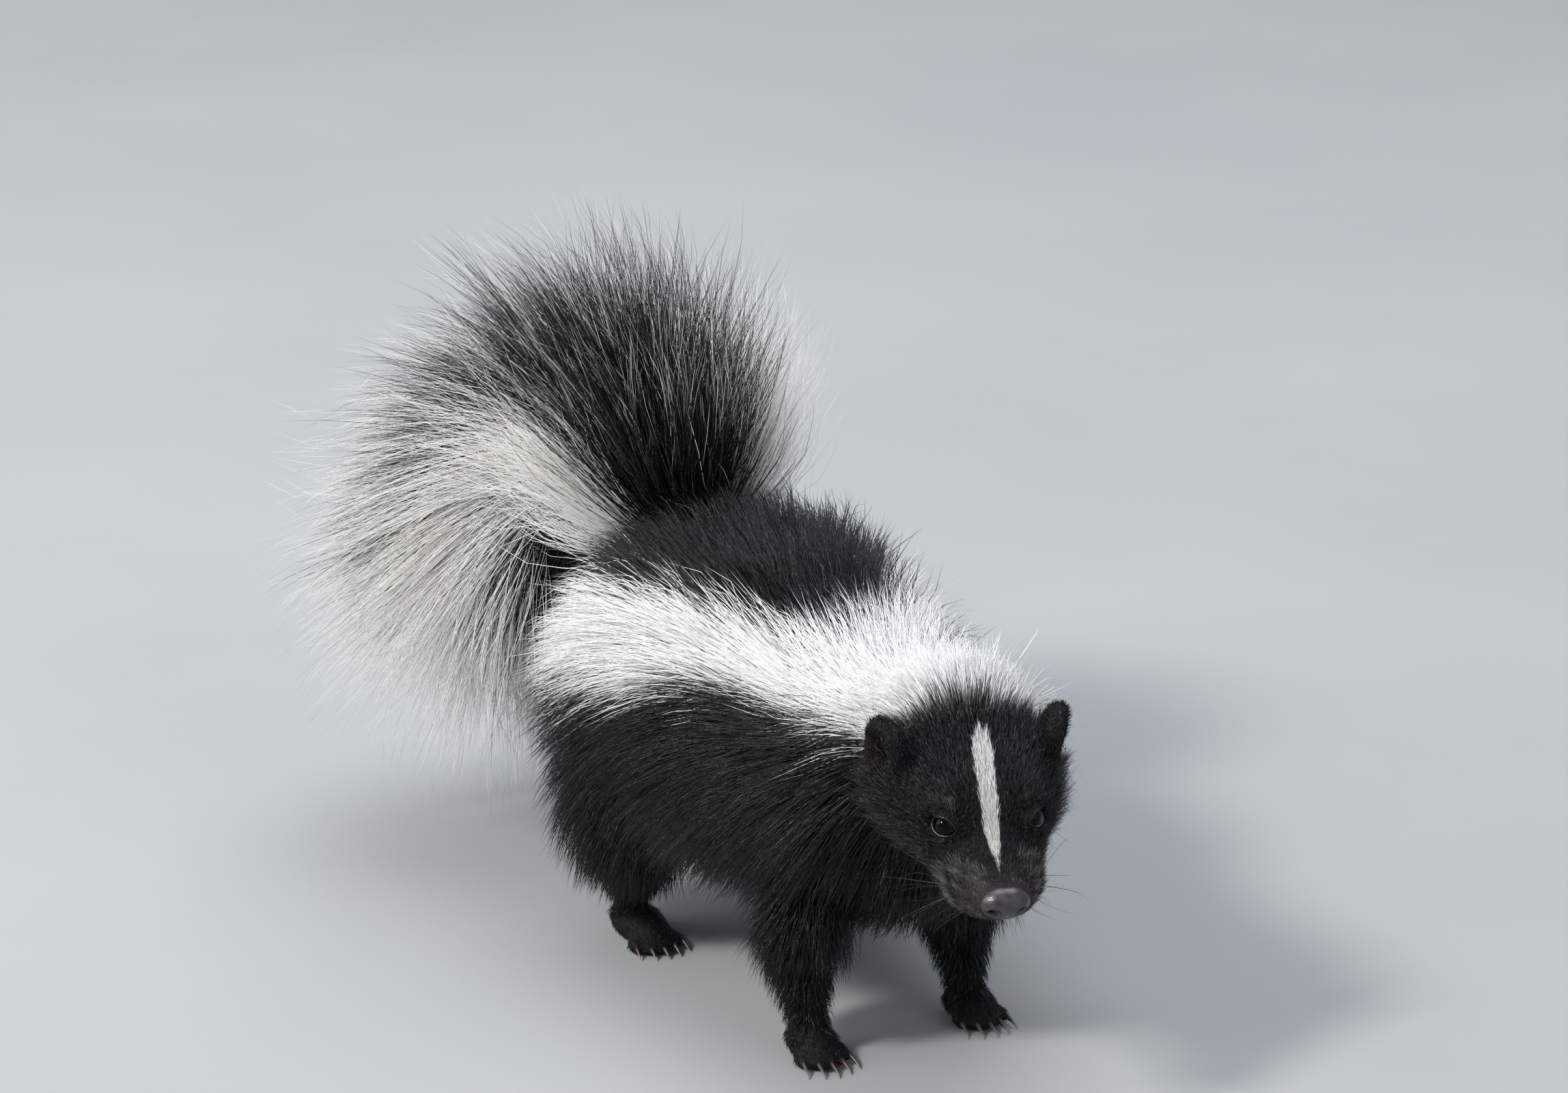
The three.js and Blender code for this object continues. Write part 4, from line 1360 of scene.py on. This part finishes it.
    def _bare_spots(self) -> None:
        """Nothing grows on the nose's bed, the lids or the soles, and the hair is shorter at the lips'
        edge.
        """
        place, v = self.place, self.values
        keep = np.ones(len(place.p))
        for eye in place.skin.eyes:
            local = eye.local(place.p)
            reach = OPENINGS[eye.side].reach(local)
            near = (local[:, 2] > -1) & (local[:, 2] < 10)
            keep *= np.where(near, smooth(1.04, 1.12, reach), 1)
            v["length"] *= np.where(near, 0.45 + 0.55 * smooth(1.1, 2.3, reach), 1)
            v["lift"] *= np.where(near, 1.35 - 0.35 * smooth(1.4, 2.4, reach), 1)
            v["settle"] *= np.where(near, smooth(1.4, 2.4, reach), 1)
            v["density"] *= np.where(near, 1 + 0.9 * smooth(2.4, 1.4, reach), 1)
            away = local[:, :1] * eye.axes[0] + local[:, 1:2] * eye.axes[1]
            pull = (smooth(2.4, 1.2, reach) * near)[:, None]
            self.lie = unit(self.lie * (1 - 0.5 * pull) + unit(away) * 0.8 * pull)
        across, along, lift = place.local.T
        pad = np.sqrt(
            (across / 7.6) ** 2 + ((along - 51.5) / 5.0) ** 2 + ((lift + 11.8) / 5.3) ** 2
        )
        keep *= smooth(1.0, 1.12, pad)
        sole = (place.p[:, 2] < 1.6) & (place.n[:, 2] < -0.3)
        keep *= np.where(sole, 0, 1)
        v["density"] *= keep
        lip = np.abs(mouth_line(place.local))
        v["length"] *= np.where((along > 20) & (lift < -14), 0.5 + 0.5 * smooth(0.3, 2.0, lip), 1)


@dataclass
class Hairs:
    """Roots and sizes of many hairs, one row a hair."""

    root: Array
    out: Array
    lie: Array
    sizes: dict[str, Array]
    region: Array
    uv: Array
    tone: Array
    tip_tone: Array
    tip_from: Array
    warmth: Array

    def chosen(self, rows: Array) -> "Hairs":
        """Some of the hairs."""
        kept = {f.name: getattr(self, f.name) for f in fields(self)}
        sizes = {name: value[rows] for name, value in kept.pop("sizes").items()}
        return Hairs(sizes=sizes, **{name: value[rows] for name, value in kept.items()})


PIECE_FACES = 190_000
CLUMP_HAIRS = 9
CLUMP_REACH = 6.0
PATCH = 0.003


class Coat:
    """All hairs of the animal as tapered three-sided blades, drawn in clumps."""

    def __init__(self, growth: CoatMap, markings: Markings, seed: int = 5) -> None:
        """Args:
        growth: lie and sizes over the skin.
        markings: the white of the coat.
        seed: start of the repeatable draws.
        """
        self.growth = growth
        self.place = growth.place
        self.markings = markings
        self.draw = np.random.default_rng(seed)

    def _wander(self, p: Array) -> Array:
        """A slow, uneven value of about -1 to 1 over the body, for ragged edges."""
        a = np.sin(p[:, 0] * 0.31 + p[:, 1] * 0.17) + np.sin(p[:, 1] * 0.43 - p[:, 2] * 0.29)
        b = np.sin(p[:, 2] * 0.61 + p[:, 0] * 0.23 + 1.3) + np.sin(p[:, 1] * 0.93 + p[:, 2] * 0.8)
        return (a + b) / 3

    def sown(self) -> Hairs:
        """Draws the roots over the skin by its density."""
        place, values = self.place, self.growth.values
        a, b, c = (place.p[place.tris[:, i]] for i in range(3))
        area = np.linalg.norm(np.cross(b - a, c - a), axis=1) / 2
        dense = np.maximum(values["density"][place.tris].mean(1), 0)
        for region in Region:
            mine = within(place.region[place.tris[:, 0]], region)
            log.info(
                "%s: %.0f mm2, %d hairs", region.name, area[mine].sum(), (area * dense)[mine].sum()
            )
        expected = area * dense * 1.0
        number = np.floor(expected + self.draw.random(len(expected))).astype(int)
        tri = np.repeat(np.arange(len(number)), number)
        share = self.draw.random((len(tri), 2))
        over = share.sum(1) > 1
        share[over] = 1 - share[over]
        weights = np.stack([1 - share.sum(1), share[:, 0], share[:, 1]], 1)
        corners = place.tris[tri]
        near = corners[np.arange(len(tri)), weights.argmax(1)]

        def read(field_values: Array) -> Array:
            """A field at the roots."""
            picked = field_values[corners]
            if picked.ndim == 3:
                return (picked * weights[:, :, None]).sum(1)
            return (picked * weights).sum(1)

        root = read(place.p)
        out = unit(read(place.n))
        lie = read(self.growth.lie)
        lie = unit(lie - dot(lie, out)[:, None] * out)
        sizes = {name: read(values[name]) for name in FIELDS}
        t, angle, tile = place.t[near], place.angle[near], place.tile[near]
        region = place.region[near]
        wander = self._wander(root) + self.draw.normal(0, 0.35, len(root))
        tone, tip_tone, tip_from, warmth = self._colours(region, t, angle, root, wander)
        tiles = np.where(within(region, Region.EARS, Region.LEGS, Region.PAWS), 4, 1)
        uv = np.stack([(tile + angle / (2 * math.pi) + 0.5) / tiles, t], 1)
        uv = 0.01 + 0.98 * np.clip(uv, 0, 1)
        uv += self.draw.normal(0, 0.0015, uv.shape)
        return Hairs(
            root, out, lie, sizes, region, np.clip(uv, 0.004, 0.996), tone, tip_tone, tip_from, warmth
        )

    def _colours(
        self, region: Array, t: Array, angle: Array, root: Array, wander: Array
    ) -> tuple[Array, Array, Array, Array]:
        """Tone at the root, tone at the tip, where it changes, and warmth, for each hair."""
        count = len(root)
        white = self.markings.whole(region, t, angle, root, wander)
        tail, head = within(region, Region.TAIL), within(region, Region.HEAD, Region.EARS)
        local = HEAD.local(root)
        picked = (white > self.draw.random(count)).astype(float)
        # On the head the white hair gets tone 0.86, a grey that is painted shade on the blaze.
        picked = np.where(head, (white > 0.5) * 0.86, picked)
        tip_tone = picked.copy()
        tip_from = np.full(count, 2.0)
        warmth = np.where(picked > 0.5, 0.04, 0.0)
        # The tail's hair is black near the root with pale, creamy ends
        spread = self.draw.normal(0, 0.1, count)
        off = off_top(angle)
        dark_length_and_shade = table(t, (0.12, 0.3, 0.45, 0.7, 1.0), (1.05, 1.0, 0.94, 0.78, 0.58))
        dark_length_and_shade = dark_length_and_shade + 0.14 * wander
        # Under the arch, next to the rump, the hair is made black to the tips: painted shade for the shadow
        # under the tail.
        dark_length_and_shade = dark_length_and_shade + 0.6 * smooth(120, 145, off) * smooth(0.74, 0.58, t)
        tip_tone = np.where(tail, 1.0, tip_tone)
        tip_from = np.where(tail & (picked < 0.5), dark_length_and_shade + spread, tip_from)
        warmth = np.where(tail, 0.35 * self.draw.random(count) + 0.15 * smooth(110, 60, off), warmth)
        # Grizzled hair on the muzzle
        muzzle = head & (local[:, 1] > 36) & (local[:, 2] < -6)
        patch = smooth(-0.4, 0.8, self._wander(root * 2.6)) * smooth(32, 41, local[:, 1])
        grey = (0.09 + 0.2 * self.draw.random(count) ** 1.4) * patch
        picked = np.where(muzzle & (picked < 0.5), grey * 0.8, picked)
        tip_tone = np.where(muzzle & (tip_tone < 0.5), grey, tip_tone)
        warmth = np.where(muzzle & (picked < 0.5), 0.4, warmth)
        # A faint brown spot over each eye
        for side in (-1, 1):
            spot = np.array([side * 11.7, 24.6, 1.4])
            far = np.linalg.norm((local - spot) / np.array([1.7, 2.1, 2.6]), axis=1)
            pale = smooth(1.3, 0.5, far) * (0.15 if side < 0 else 0.05) * head
            pale = pale * (0.4 + 0.6 * self.draw.random(count))
            picked = np.maximum(picked, pale)
            tip_tone = np.maximum(tip_tone, pale)
            warmth = np.where(pale > 0.03, 0.7, warmth)
        inner = np.zeros(count)
        for ear in self.place.skin.ears:
            inner = np.maximum(inner, ear.cup(root, 0.7, 2.5) * within(region, Region.EARS))
        picked = np.where(inner > 0.3, 0.01, picked)
        tip_tone = np.where(inner > 0.3, 0.03, tip_tone)
        warmth = np.where(inner > 0.3, 1.0, warmth)
        return picked, tip_tone, tip_from, warmth

    def build(self, hairs: Hairs, name: str, steps: int, material: Material, slot: str) -> None:
        """Makes hairs as solid blades, in pieces of under 200,000 faces.

        Args:
            hairs: what to make.
            name: the name that the pieces start with.
            steps: lengths of one hair.
            material: their finish.
            slot: not used.
        """
        each = 6 * (steps - 1) + 4
        pieces = max(1, math.ceil(len(hairs.root) * each / PIECE_FACES))
        order = np.argsort(hairs.uv[:, 1], kind="stable")
        lines = self._lines(hairs, steps)
        for number, rows in enumerate(np.array_split(order, pieces), 1):
            if len(rows):
                tag = name if pieces == 1 else f"{name}_{number}"
                self._blades(hairs.chosen(rows), lines[rows], tag, material)

    def _lines(self, hairs: Hairs, steps: int) -> Array:
        """The bent middle line of each hair, drawn towards the line of its clump."""
        n, s, draw = len(hairs.root), hairs.sizes, self.draw
        vary = 1 + 0.12 * draw.normal(0, 1, n).clip(-2.2, 0.9)
        vary *= np.where(draw.random(n) < 0.3, 0.55 + 0.3 * draw.random(n), 1.0)
        length = s["length"] * vary
        lift = np.radians(s["lift"] * (1 + 0.2 * draw.normal(0, 1, n)))
        sway = s["sway"] * draw.normal(0, 0.6, n)
        turn_axis = np.cross(hairs.out, hairs.lie)
        lines = np.zeros((n, steps + 1, 3))
        lines[:, 0] = hairs.root - hairs.out * 0.35
        curl = draw.normal(0, 0.17, (n, 2))
        for k in range(steps):
            share = (k + 0.3) / steps
            angle = lift - np.radians(s["settle"]) * share
            swing = sway * (0.4 + share) + curl[:, 0] * math.sin(share * 5.5)
            angle = angle + curl[:, 1] * math.sin(share * 4.5 + 0.6)
            lie = hairs.lie * np.cos(swing)[:, None] + turn_axis * np.sin(swing)[:, None]
            way = lie * np.cos(angle)[:, None] + hairs.out * np.sin(angle)[:, None]
            way = way - UPWARD * (s["droop"] * share**1.5)[:, None]
            way = unit(way)
            lines[:, k + 1] = lines[:, k] + way * (length / steps)[:, None]
        leaders = np.sort(draw.choice(n, max(1, n // CLUMP_HAIRS), replace=False))
        leader = leaders[nearest(hairs.root[leaders], hairs.root)]
        offset = hairs.root - hairs.root[leader]
        near = np.linalg.norm(offset, axis=1) < CLUMP_REACH
        for k in range(1, steps + 1):
            share = k / steps
            pull = s["clump"] * share**1.3 * near
            goal = lines[leader, k] + offset * (1 - 0.85 * share)
            lines[:, k] += (goal - lines[:, k]) * pull[:, None]
        lines[:, :, 2] = np.maximum(lines[:, :, 2], 0.4)
        return lines

    def _blades(
        self,
        hairs: Hairs,
        lines: Array,
        name: str,
        material: Material,
    ) -> None:
        """One piece: closed three-sided blades round the middle lines."""
        n, rings = len(lines), lines.shape[1] - 1
        ways = unit(np.diff(lines, axis=1))
        ways = np.concatenate([ways[:, :1], unit(ways[:, 1:] + ways[:, :-1])], 1)
        side = unit(np.cross(ways, hairs.out[:, None, :]))
        top = np.cross(side, ways)
        roll = self.draw.normal(0, 0.5, n)[:, None, None]
        side, top = side * np.cos(roll) + top * np.sin(roll), top * np.cos(roll) - side * np.sin(roll)
        share = np.arange(rings) / rings
        taper = np.minimum(0.75 + 1.2 * share, 1.0) * (1 - share**1.8 * 0.92)
        wide = (hairs.sizes["width"][:, None] * taper)[:, :, None] / 2
        base = lines[:, :rings]
        low = base - top * wide * 0.35
        ring = np.stack([low - side * wide, low + side * wide, base + top * wide * 0.6], 2)
        corners = np.concatenate([ring.reshape(n, rings * 3, 3), lines[:, rings:]], 1)
        per = rings * 3 + 1
        faces = [(2, 1, 0)]
        for k in range(rings - 1):
            for j in range(3):
                a, b = 3 * k + j, 3 * k + (j + 1) % 3
                faces += [(a, b, b + 3), (a, b + 3, a + 3)]
        tip = rings * 3
        faces += [(3 * (rings - 1) + j, 3 * (rings - 1) + (j + 1) % 3, tip) for j in range(3)]
        pattern = np.array(faces)
        tris = (np.arange(n)[:, None, None] * per + pattern[None]).reshape(-1, 3)
        mesh = bpy.data.meshes.new(name)
        mesh.vertices.add(n * per)
        mesh.vertices.foreach_set("co", placed(corners.reshape(-1, 3)).astype(np.float32).ravel())
        mesh.loops.add(len(tris) * 3)
        mesh.loops.foreach_set("vertex_index", tris.ravel().astype(np.int32))
        mesh.polygons.add(len(tris))
        mesh.polygons.foreach_set("loop_start", np.arange(len(tris), dtype=np.int32) * 3)
        mesh.update(calc_edges=True)
        along = np.concatenate([np.repeat(share, 3), [1.0]])
        change = smooth(-0.09, 0.09, along[None, :] - hairs.tip_from[:, None])
        hold(mesh, "tone", mixed(hairs.tone[:, None], hairs.tip_tone[:, None], change))
        hold(mesh, "warmth", np.repeat(hairs.warmth, per))
        # draw also picks the black hairs that are painted grey as sheen
        hold(mesh, "draw", np.repeat(self.draw.random(n), per))
        # Each hair's patch lies at its root's place on the unwrap of the skin
        across = np.concatenate([np.tile([0.0, 1.0, 0.5], rings), [0.5]])
        patch = np.stack([across - 0.5, along - 0.5], 1) * PATCH
        spots = hairs.uv[:, None, :] + patch[None]
        layer = mesh.uv_layers.new(name="OFBake")
        layer.uv.foreach_set("vector", spots.reshape(-1, 2)[tris.ravel()].astype(np.float32).ravel())
        shown(name, mesh, material)


# ---------------------------------------------------------------- eyes, nose, claws, whiskers


class EyePair:
    """Both eyes with their lid margins."""

    def build(self, eye_finish: Material, lid_finish: Material) -> None:
        """Makes each eyeball with its cornea's bulge, and the ring of its lids."""
        for name, side in (("right", -1), ("left", 1)):
            eye = EyeFrame(side)
            bm = bmesh.new()
            bmesh.ops.create_uvsphere(bm, u_segments=64, v_segments=48, radius=EYE_RADIUS)
            at = corners(bm)
            aim = np.arccos(np.clip(at[:, 2] / EYE_RADIUS, -1, 1))
            at = at * (1 + 0.045 * smooth(0.75, 0.2, aim))[:, None]
            shaped(bm, at @ np.stack(eye.axes) + eye.middle)
            made = piece("eyeball_" + name, bm, eye_finish, ["eye_" + name])
            hold(made.data, "aim", aim / 1.6)
            self._lid(eye, "lid_margin_" + name, lid_finish)

    def _lid(self, eye: EyeFrame, name: str, finish: Material) -> None:
        """The bare margin of the lids: a soft ring along the almond's edge."""
        bm = bmesh.new()
        circle = bmesh.ops.create_circle(bm, segments=12, radius=0.33)
        for v in circle["verts"]:
            v.co = Vector((4 + v.co.x, 0, v.co.y))
        bmesh.ops.spin(
            bm,
            geom=bm.verts[:] + bm.edges[:],
            cent=(0, 0, 0),
            axis=(0, 0, 1),
            angle=2 * math.pi,
            steps=72,
            use_merge=True,
        )
        bmesh.ops.remove_doubles(bm, verts=bm.verts, dist=1e-4)
        at = corners(bm)
        round_angle = np.arctan2(at[:, 1], at[:, 0])
        off = np.hypot(at[:, 0], at[:, 1]) - 4
        edge = OPENINGS[eye.side].edge(round_angle)
        outward = unit(edge)
        flat = edge + outward * (0.27 + off * 0.9)[:, None]
        depth = np.sqrt(np.maximum((EYE_RADIUS + 0.2) ** 2 - dot(flat, flat), 0.3))
        spot = np.concatenate([flat, (depth + at[:, 2] * 0.75)[:, None]], 1)
        shaped(bm, spot @ np.stack(eye.axes) + eye.middle)
        below = 0.5 * np.cos(round_angle) - 0.8 * np.sin(round_angle)
        made = piece(name, bm, finish)
        hold(made.data, "tone", smooth(0.1, 0.6, below))


@dataclass
class NosePad:
    """The bare nose: a broad pad with two comma-shaped nostrils and a cleft."""

    along: float = 51.5
    lift: float = -11.8
    half: float = 7.7
    deep: float = 4.8
    tall: float = 5.2

    def build(self, finish: Material) -> None:
        """Presses the nostrils and the cleft into an ellipsoid."""
        middle = HEAD.point(0.0, self.along, self.lift)
        bm = ball(middle, HEAD.axes, (self.half, self.deep, self.tall), 96, 72)
        at = HEAD.local(corners(bm)) - np.array([0, self.along, self.lift])
        side = np.abs(at[:, 0])
        front = smooth(0.0, 1.5, at[:, 1])
        hole = np.exp(-((((side - 3.9) / 1.85) ** 2 + ((at[:, 2] + 0.1) / 1.5) ** 2) ** 1.5))
        slit = np.exp(-((at[:, 2] + 0.6 + 0.12 * (side - 4)) / 0.6) ** 2) * smooth(3.8, 4.6, side)
        press = front * (2.6 * hole + 1.2 * slit * smooth(7.3, 6.4, side))
        wing = np.exp(-(((side - 3.8) / 2.6) ** 2 + ((at[:, 2] - 0.4) / 2.2) ** 2)) * 0.8
        cleft = 0.45 * np.exp(-((at[:, 0] / 0.4) ** 2)) * smooth(1.0, -1.5, at[:, 2]) * front
        top = 0.35 * np.exp(-((at[:, 0] / 2.2) ** 2)) * smooth(1.0, 3.5, at[:, 2])
        at[:, 1] += wing * front * (1 - hole) - press - cleft
        at[:, 2] -= top
        at += np.array([0, self.along, self.lift])
        moved(bm, HEAD.point(*at.T))
        made = piece("nose_pad", bm, finish, ["nose"])
        # deep also paints the shade inside the nostrils
        hold(made.data, "deep", np.clip(front * (hole * 1.2 + slit * 0.9), 0, 1))


class Claws:
    """Five curved claws on each paw."""

    def build(self, feet: Sequence[tuple[str, Paw, int, float]], finish: Material) -> None:
        """Makes one piece a paw, each claw a cone cut into lengths and bent down."""
        for name, paw, side, shift in feet:
            cones, tones = [], []
            for i in range(5):
                x, y, spread = paw.toe(i, side, shift)
                bm = bmesh.new()
                bmesh.ops.create_cone(
                    bm,
                    cap_ends=True,
                    segments=12,
                    radius1=paw.claw_thick,
                    radius2=0.14,
                    depth=paw.claw,
                )
                for k in range(1, 6):
                    height = (k / 6 - 0.5) * paw.claw
                    geom = bm.verts[:] + bm.edges[:] + bm.faces[:]
                    bmesh.ops.bisect_plane(
                        bm, geom=geom, plane_co=(0, 0, height), plane_no=(0, 0, 1)
                    )
                at = corners(bm)
                share = at[:, 2] / paw.claw + 0.5
                ahead = y - 4.6 + paw.claw * 0.28 - share * paw.claw * 0.92
                drop = 2.9 - share * 0.9 - share**2 * (1.9 if paw.claw > 6 else 1.3)
                fan = spread * (0.6 + 0.16 * share * paw.claw)
                spot = np.stack([x + fan + at[:, 0] * 0.8, ahead, drop + at[:, 1]], 1)
                spot[:, 2] = np.maximum(spot[:, 2], 0.05)
                tones.append(share)
                cones.append(shaped(bm, spot))
            made = piece("claws_" + name, joined(cones), finish)
            hold(made.data, "tone", np.concatenate(tones))


@dataclass
class Whiskers:
    """Long stiff hairs of the lip, and a few over the eyes."""

    number: int = 13
    seed: int = 31

    def hairs(self, growth: CoatMap) -> Hairs:
        """Roots in rows on the whisker pads, fanning back and down."""
        draw = np.random.default_rng(self.seed)
        place = growth.place
        roots, ways, lengths = [], [], []
        for side in (-1, 1):
            for i in range(self.number):
                row, col = i % 3, i // 3
                roots.append((side * (7.5 + col * 1.1), 46 - col * 2.6, -14.5 - row * 1.9))
                ways.append((side * (0.75 - 0.06 * col), 0.25 - 0.22 * col, -0.28 - 0.2 * row))
                lengths.append(14 + 4.2 * col + 4 * draw.random())
            for i in range(3):
                roots.append((side * (10 + i * 1.5), 22 - i * 2, 3.0))
                ways.append((side * 0.5, -0.25, 0.7))
                lengths.append(9 + 3 * draw.random())
        roots = HEAD.point(*np.array(roots).T)
        near = nearest(place.p, roots)
        out = place.n[near]
        way = unit(np.array(ways) @ np.stack(HEAD.axes))
        lie = unit(way - dot(way, out)[:, None] * out)
        count = len(near)
        even = {
            "length": np.array(lengths),
            "width": np.full(count, 0.17),
            "lift": np.degrees(np.arcsin(np.clip(dot(way, out), 0.15, 0.9))),
            "settle": np.full(count, 16.0),
            "droop": np.full(count, 0.18),
            "sway": np.full(count, 0.15),
            "density": np.ones(count),
            "clump": np.zeros(count),
        }
        pale = np.where(draw.random(count) < 0.3, 0.1, 0.02)
        return Hairs(
            root=place.p[near],
            out=out,
            lie=lie,
            sizes=even,
            region=np.full(count, Region.HEAD.value),
            uv=np.stack([np.linspace(0.1, 0.9, count), np.full(count, 0.5)], 1),
            tone=pale,
            tip_tone=pale,
            tip_from=np.full(count, 2.0),
            warmth=np.full(count, 0.3),
        )


# ---------------------------------------------------------------- the studio


@dataclass
class Studio:
    """Pale floor, soft lights and a camera at the photograph's angle."""

    azimuth: float = -26.0
    elevation: float = 17.0
    distance: float = 1320.0
    lens: float = 100.0
    width: int = 2296
    height: int = 1600
    pixel: tuple[float, float] = (1419.0, 1088.0)

    def camera(self) -> None:
        """Puts the middle between the ears at its pixel of the photograph."""
        a, e = math.radians(self.azimuth), math.radians(self.elevation)
        back = np.array([math.sin(a) * math.cos(e), -math.cos(a) * math.cos(e), math.sin(e)])
        right = np.array([math.cos(a), math.sin(a), 0.0])
        up = np.cross(back, right)
        focal = self.lens / 36 * self.width
        x = (self.pixel[0] - self.width / 2) / focal * self.distance
        y = (self.height / 2 - self.pixel[1]) / focal * self.distance
        spot = np.array(HEAD.middle) + back * self.distance - right * x - up * y
        data = bpy.data.cameras.new("Camera")
        data.lens = self.lens
        data.sensor_width = 36
        data.sensor_fit = "HORIZONTAL"
        data.clip_start, data.clip_end = 0.05, 50
        made = bpy.data.objects.new("Camera", data)
        made.location = placed(spot)
        made.rotation_mode = "QUATERNION"
        made.rotation_quaternion = Matrix(np.stack([right, up, back], 1)).to_quaternion()
        bpy.context.scene.collection.objects.link(made)
        bpy.context.scene.camera = made

    def _area(
        self, name: str, where: Sequence[float], size: float, power: float, colour: str
    ) -> None:
        """A square soft light that looks at the animal."""
        data = bpy.data.lights.new(name, "AREA")
        data.shape = "SQUARE"
        data.size = size
        data.energy = power
        data.color = linear(colour)[:3]
        made = bpy.data.objects.new(name, data)
        made.location = where
        aim = Vector((0, 0, 0.1)) - Vector(where)
        made.rotation_mode = "QUATERNION"
        made.rotation_quaternion = aim.to_track_quat("-Z", "Y")
        bpy.context.scene.collection.objects.link(made)

    def build(self) -> None:
        """Floor, sky light and three soft boxes."""
        bpy.context.scene.view_settings.view_transform = "Standard"
        bm = bmesh.new()
        bmesh.ops.create_grid(bm, x_segments=8, y_segments=8, size=20)
        mesh = bpy.data.meshes.new("studio_floor")
        bm.to_mesh(mesh)
        bm.free()
        mesh.materials.append(FloorFinish().material())
        floor = bpy.data.objects.new("studio_floor", mesh)
        bpy.context.scene.collection.objects.link(floor)
        world = bpy.data.worlds.new("studio")
        bpy.context.scene.world = world
        world.use_nodes = True
        sky = world.node_tree.nodes["Background"]
        sky.inputs["Color"].default_value = linear("#dfe6ee")
        sky.inputs["Strength"].default_value = 0.5
        self._area("key", (-2.6, -0.5, 2.5), 0.6, 102.0, "#fffdf9")
        self._area("top", (0.5, 1.0, 3.0), 2.6, 70.0, "#f4f7ff")
        self._area("fill", (1.2, -3.2, 1.6), 2.8, 16.0, "#f0f4ff")
        self._area("side", (-2.7, 1.2, 1.5), 2.2, 36.0, "#fbfbfa")


# ---------------------------------------------------------------- putting it together


FLESH = (
    "head neck torso tail_base tail_middle tail_tip ear_right ear_left foreleg_right foreleg_left "
    "hindleg_right hindleg_left forepaw_right forepaw_left hindpaw_right hindpaw_left"
).split()


def dress_skin(place: SkinMap, markings: Markings) -> None:
    """Shows the skin with the coat's own markings, for the gaps between the hairs, darkened there as
    painted shade of the deep coat.
    """
    region, p, mesh = place.region, place.p, place.mesh
    tone = markings.whole(region, place.t, place.angle, p, np.zeros(len(p)))
    _, along, lift = place.local.T
    bare = smooth(36, 48, along) * smooth(-4, -10, lift) * within(region, Region.HEAD)
    rust = np.zeros(len(p))
    for ear in place.skin.ears:
        rust = np.maximum(rust, ear.cup(p, 0.75, 3.0) * within(region, Region.EARS))
    mesh.vertices.foreach_set("co", placed(p).astype(np.float32).ravel())
    shown("skin", mesh, SkinFinish().material(), FLESH)
    hold(mesh, "tone", tone)
    hold(mesh, "bare", np.clip(bare, 0, 1))
    hold(mesh, "rust", rust)


def main() -> None:
    """Builds the animal from the skin outwards, then the studio."""
    logging.basicConfig(level=logging.INFO, format="%(message)s")
    skin = Skin(Anatomy())
    place = skin.build()
    markings = Markings()
    growth = CoatMap(place)
    coat = Coat(growth, markings)
    hairs = coat.sown()
    fur = FurFinish().material()
    white = hairs.tone > 0.5
    trunk = within(hairs.region, Region.TRUNK)
    head = within(hairs.region, Region.HEAD, Region.EARS)
    for name, mine, steps, slot in (
        ("coat_stripes", trunk & white, 3, "white_fur"),
        ("coat_body", trunk & ~white, 3, "black_fur"),
        ("coat_tail", within(hairs.region, Region.TAIL), 5, "tail_fur"),
        ("coat_head", head & ~white, 2, "black_fur"),
        ("coat_blaze", head & white, 2, "white_fur"),
        ("coat_legs", within(hairs.region, Region.LEGS), 2, "black_fur"),
        ("coat_paws", within(hairs.region, Region.PAWS), 2, "black_fur"),
    ):
        coat.build(hairs.chosen(np.where(mine)[0]), name, steps, fur, slot)
    coat.build(Whiskers().hairs(growth), "whiskers", 6, fur, "white_fur")
    dress_skin(place, markings)
    EyePair().build(EyeFinish().material(), LidFinish().material())
    NosePad().build(NoseFinish().material())
    Claws().build(skin.feet(), ClawFinish().material())
    studio = Studio()
    studio.build()
    studio.camera()


if __name__ == "__main__":
    main()
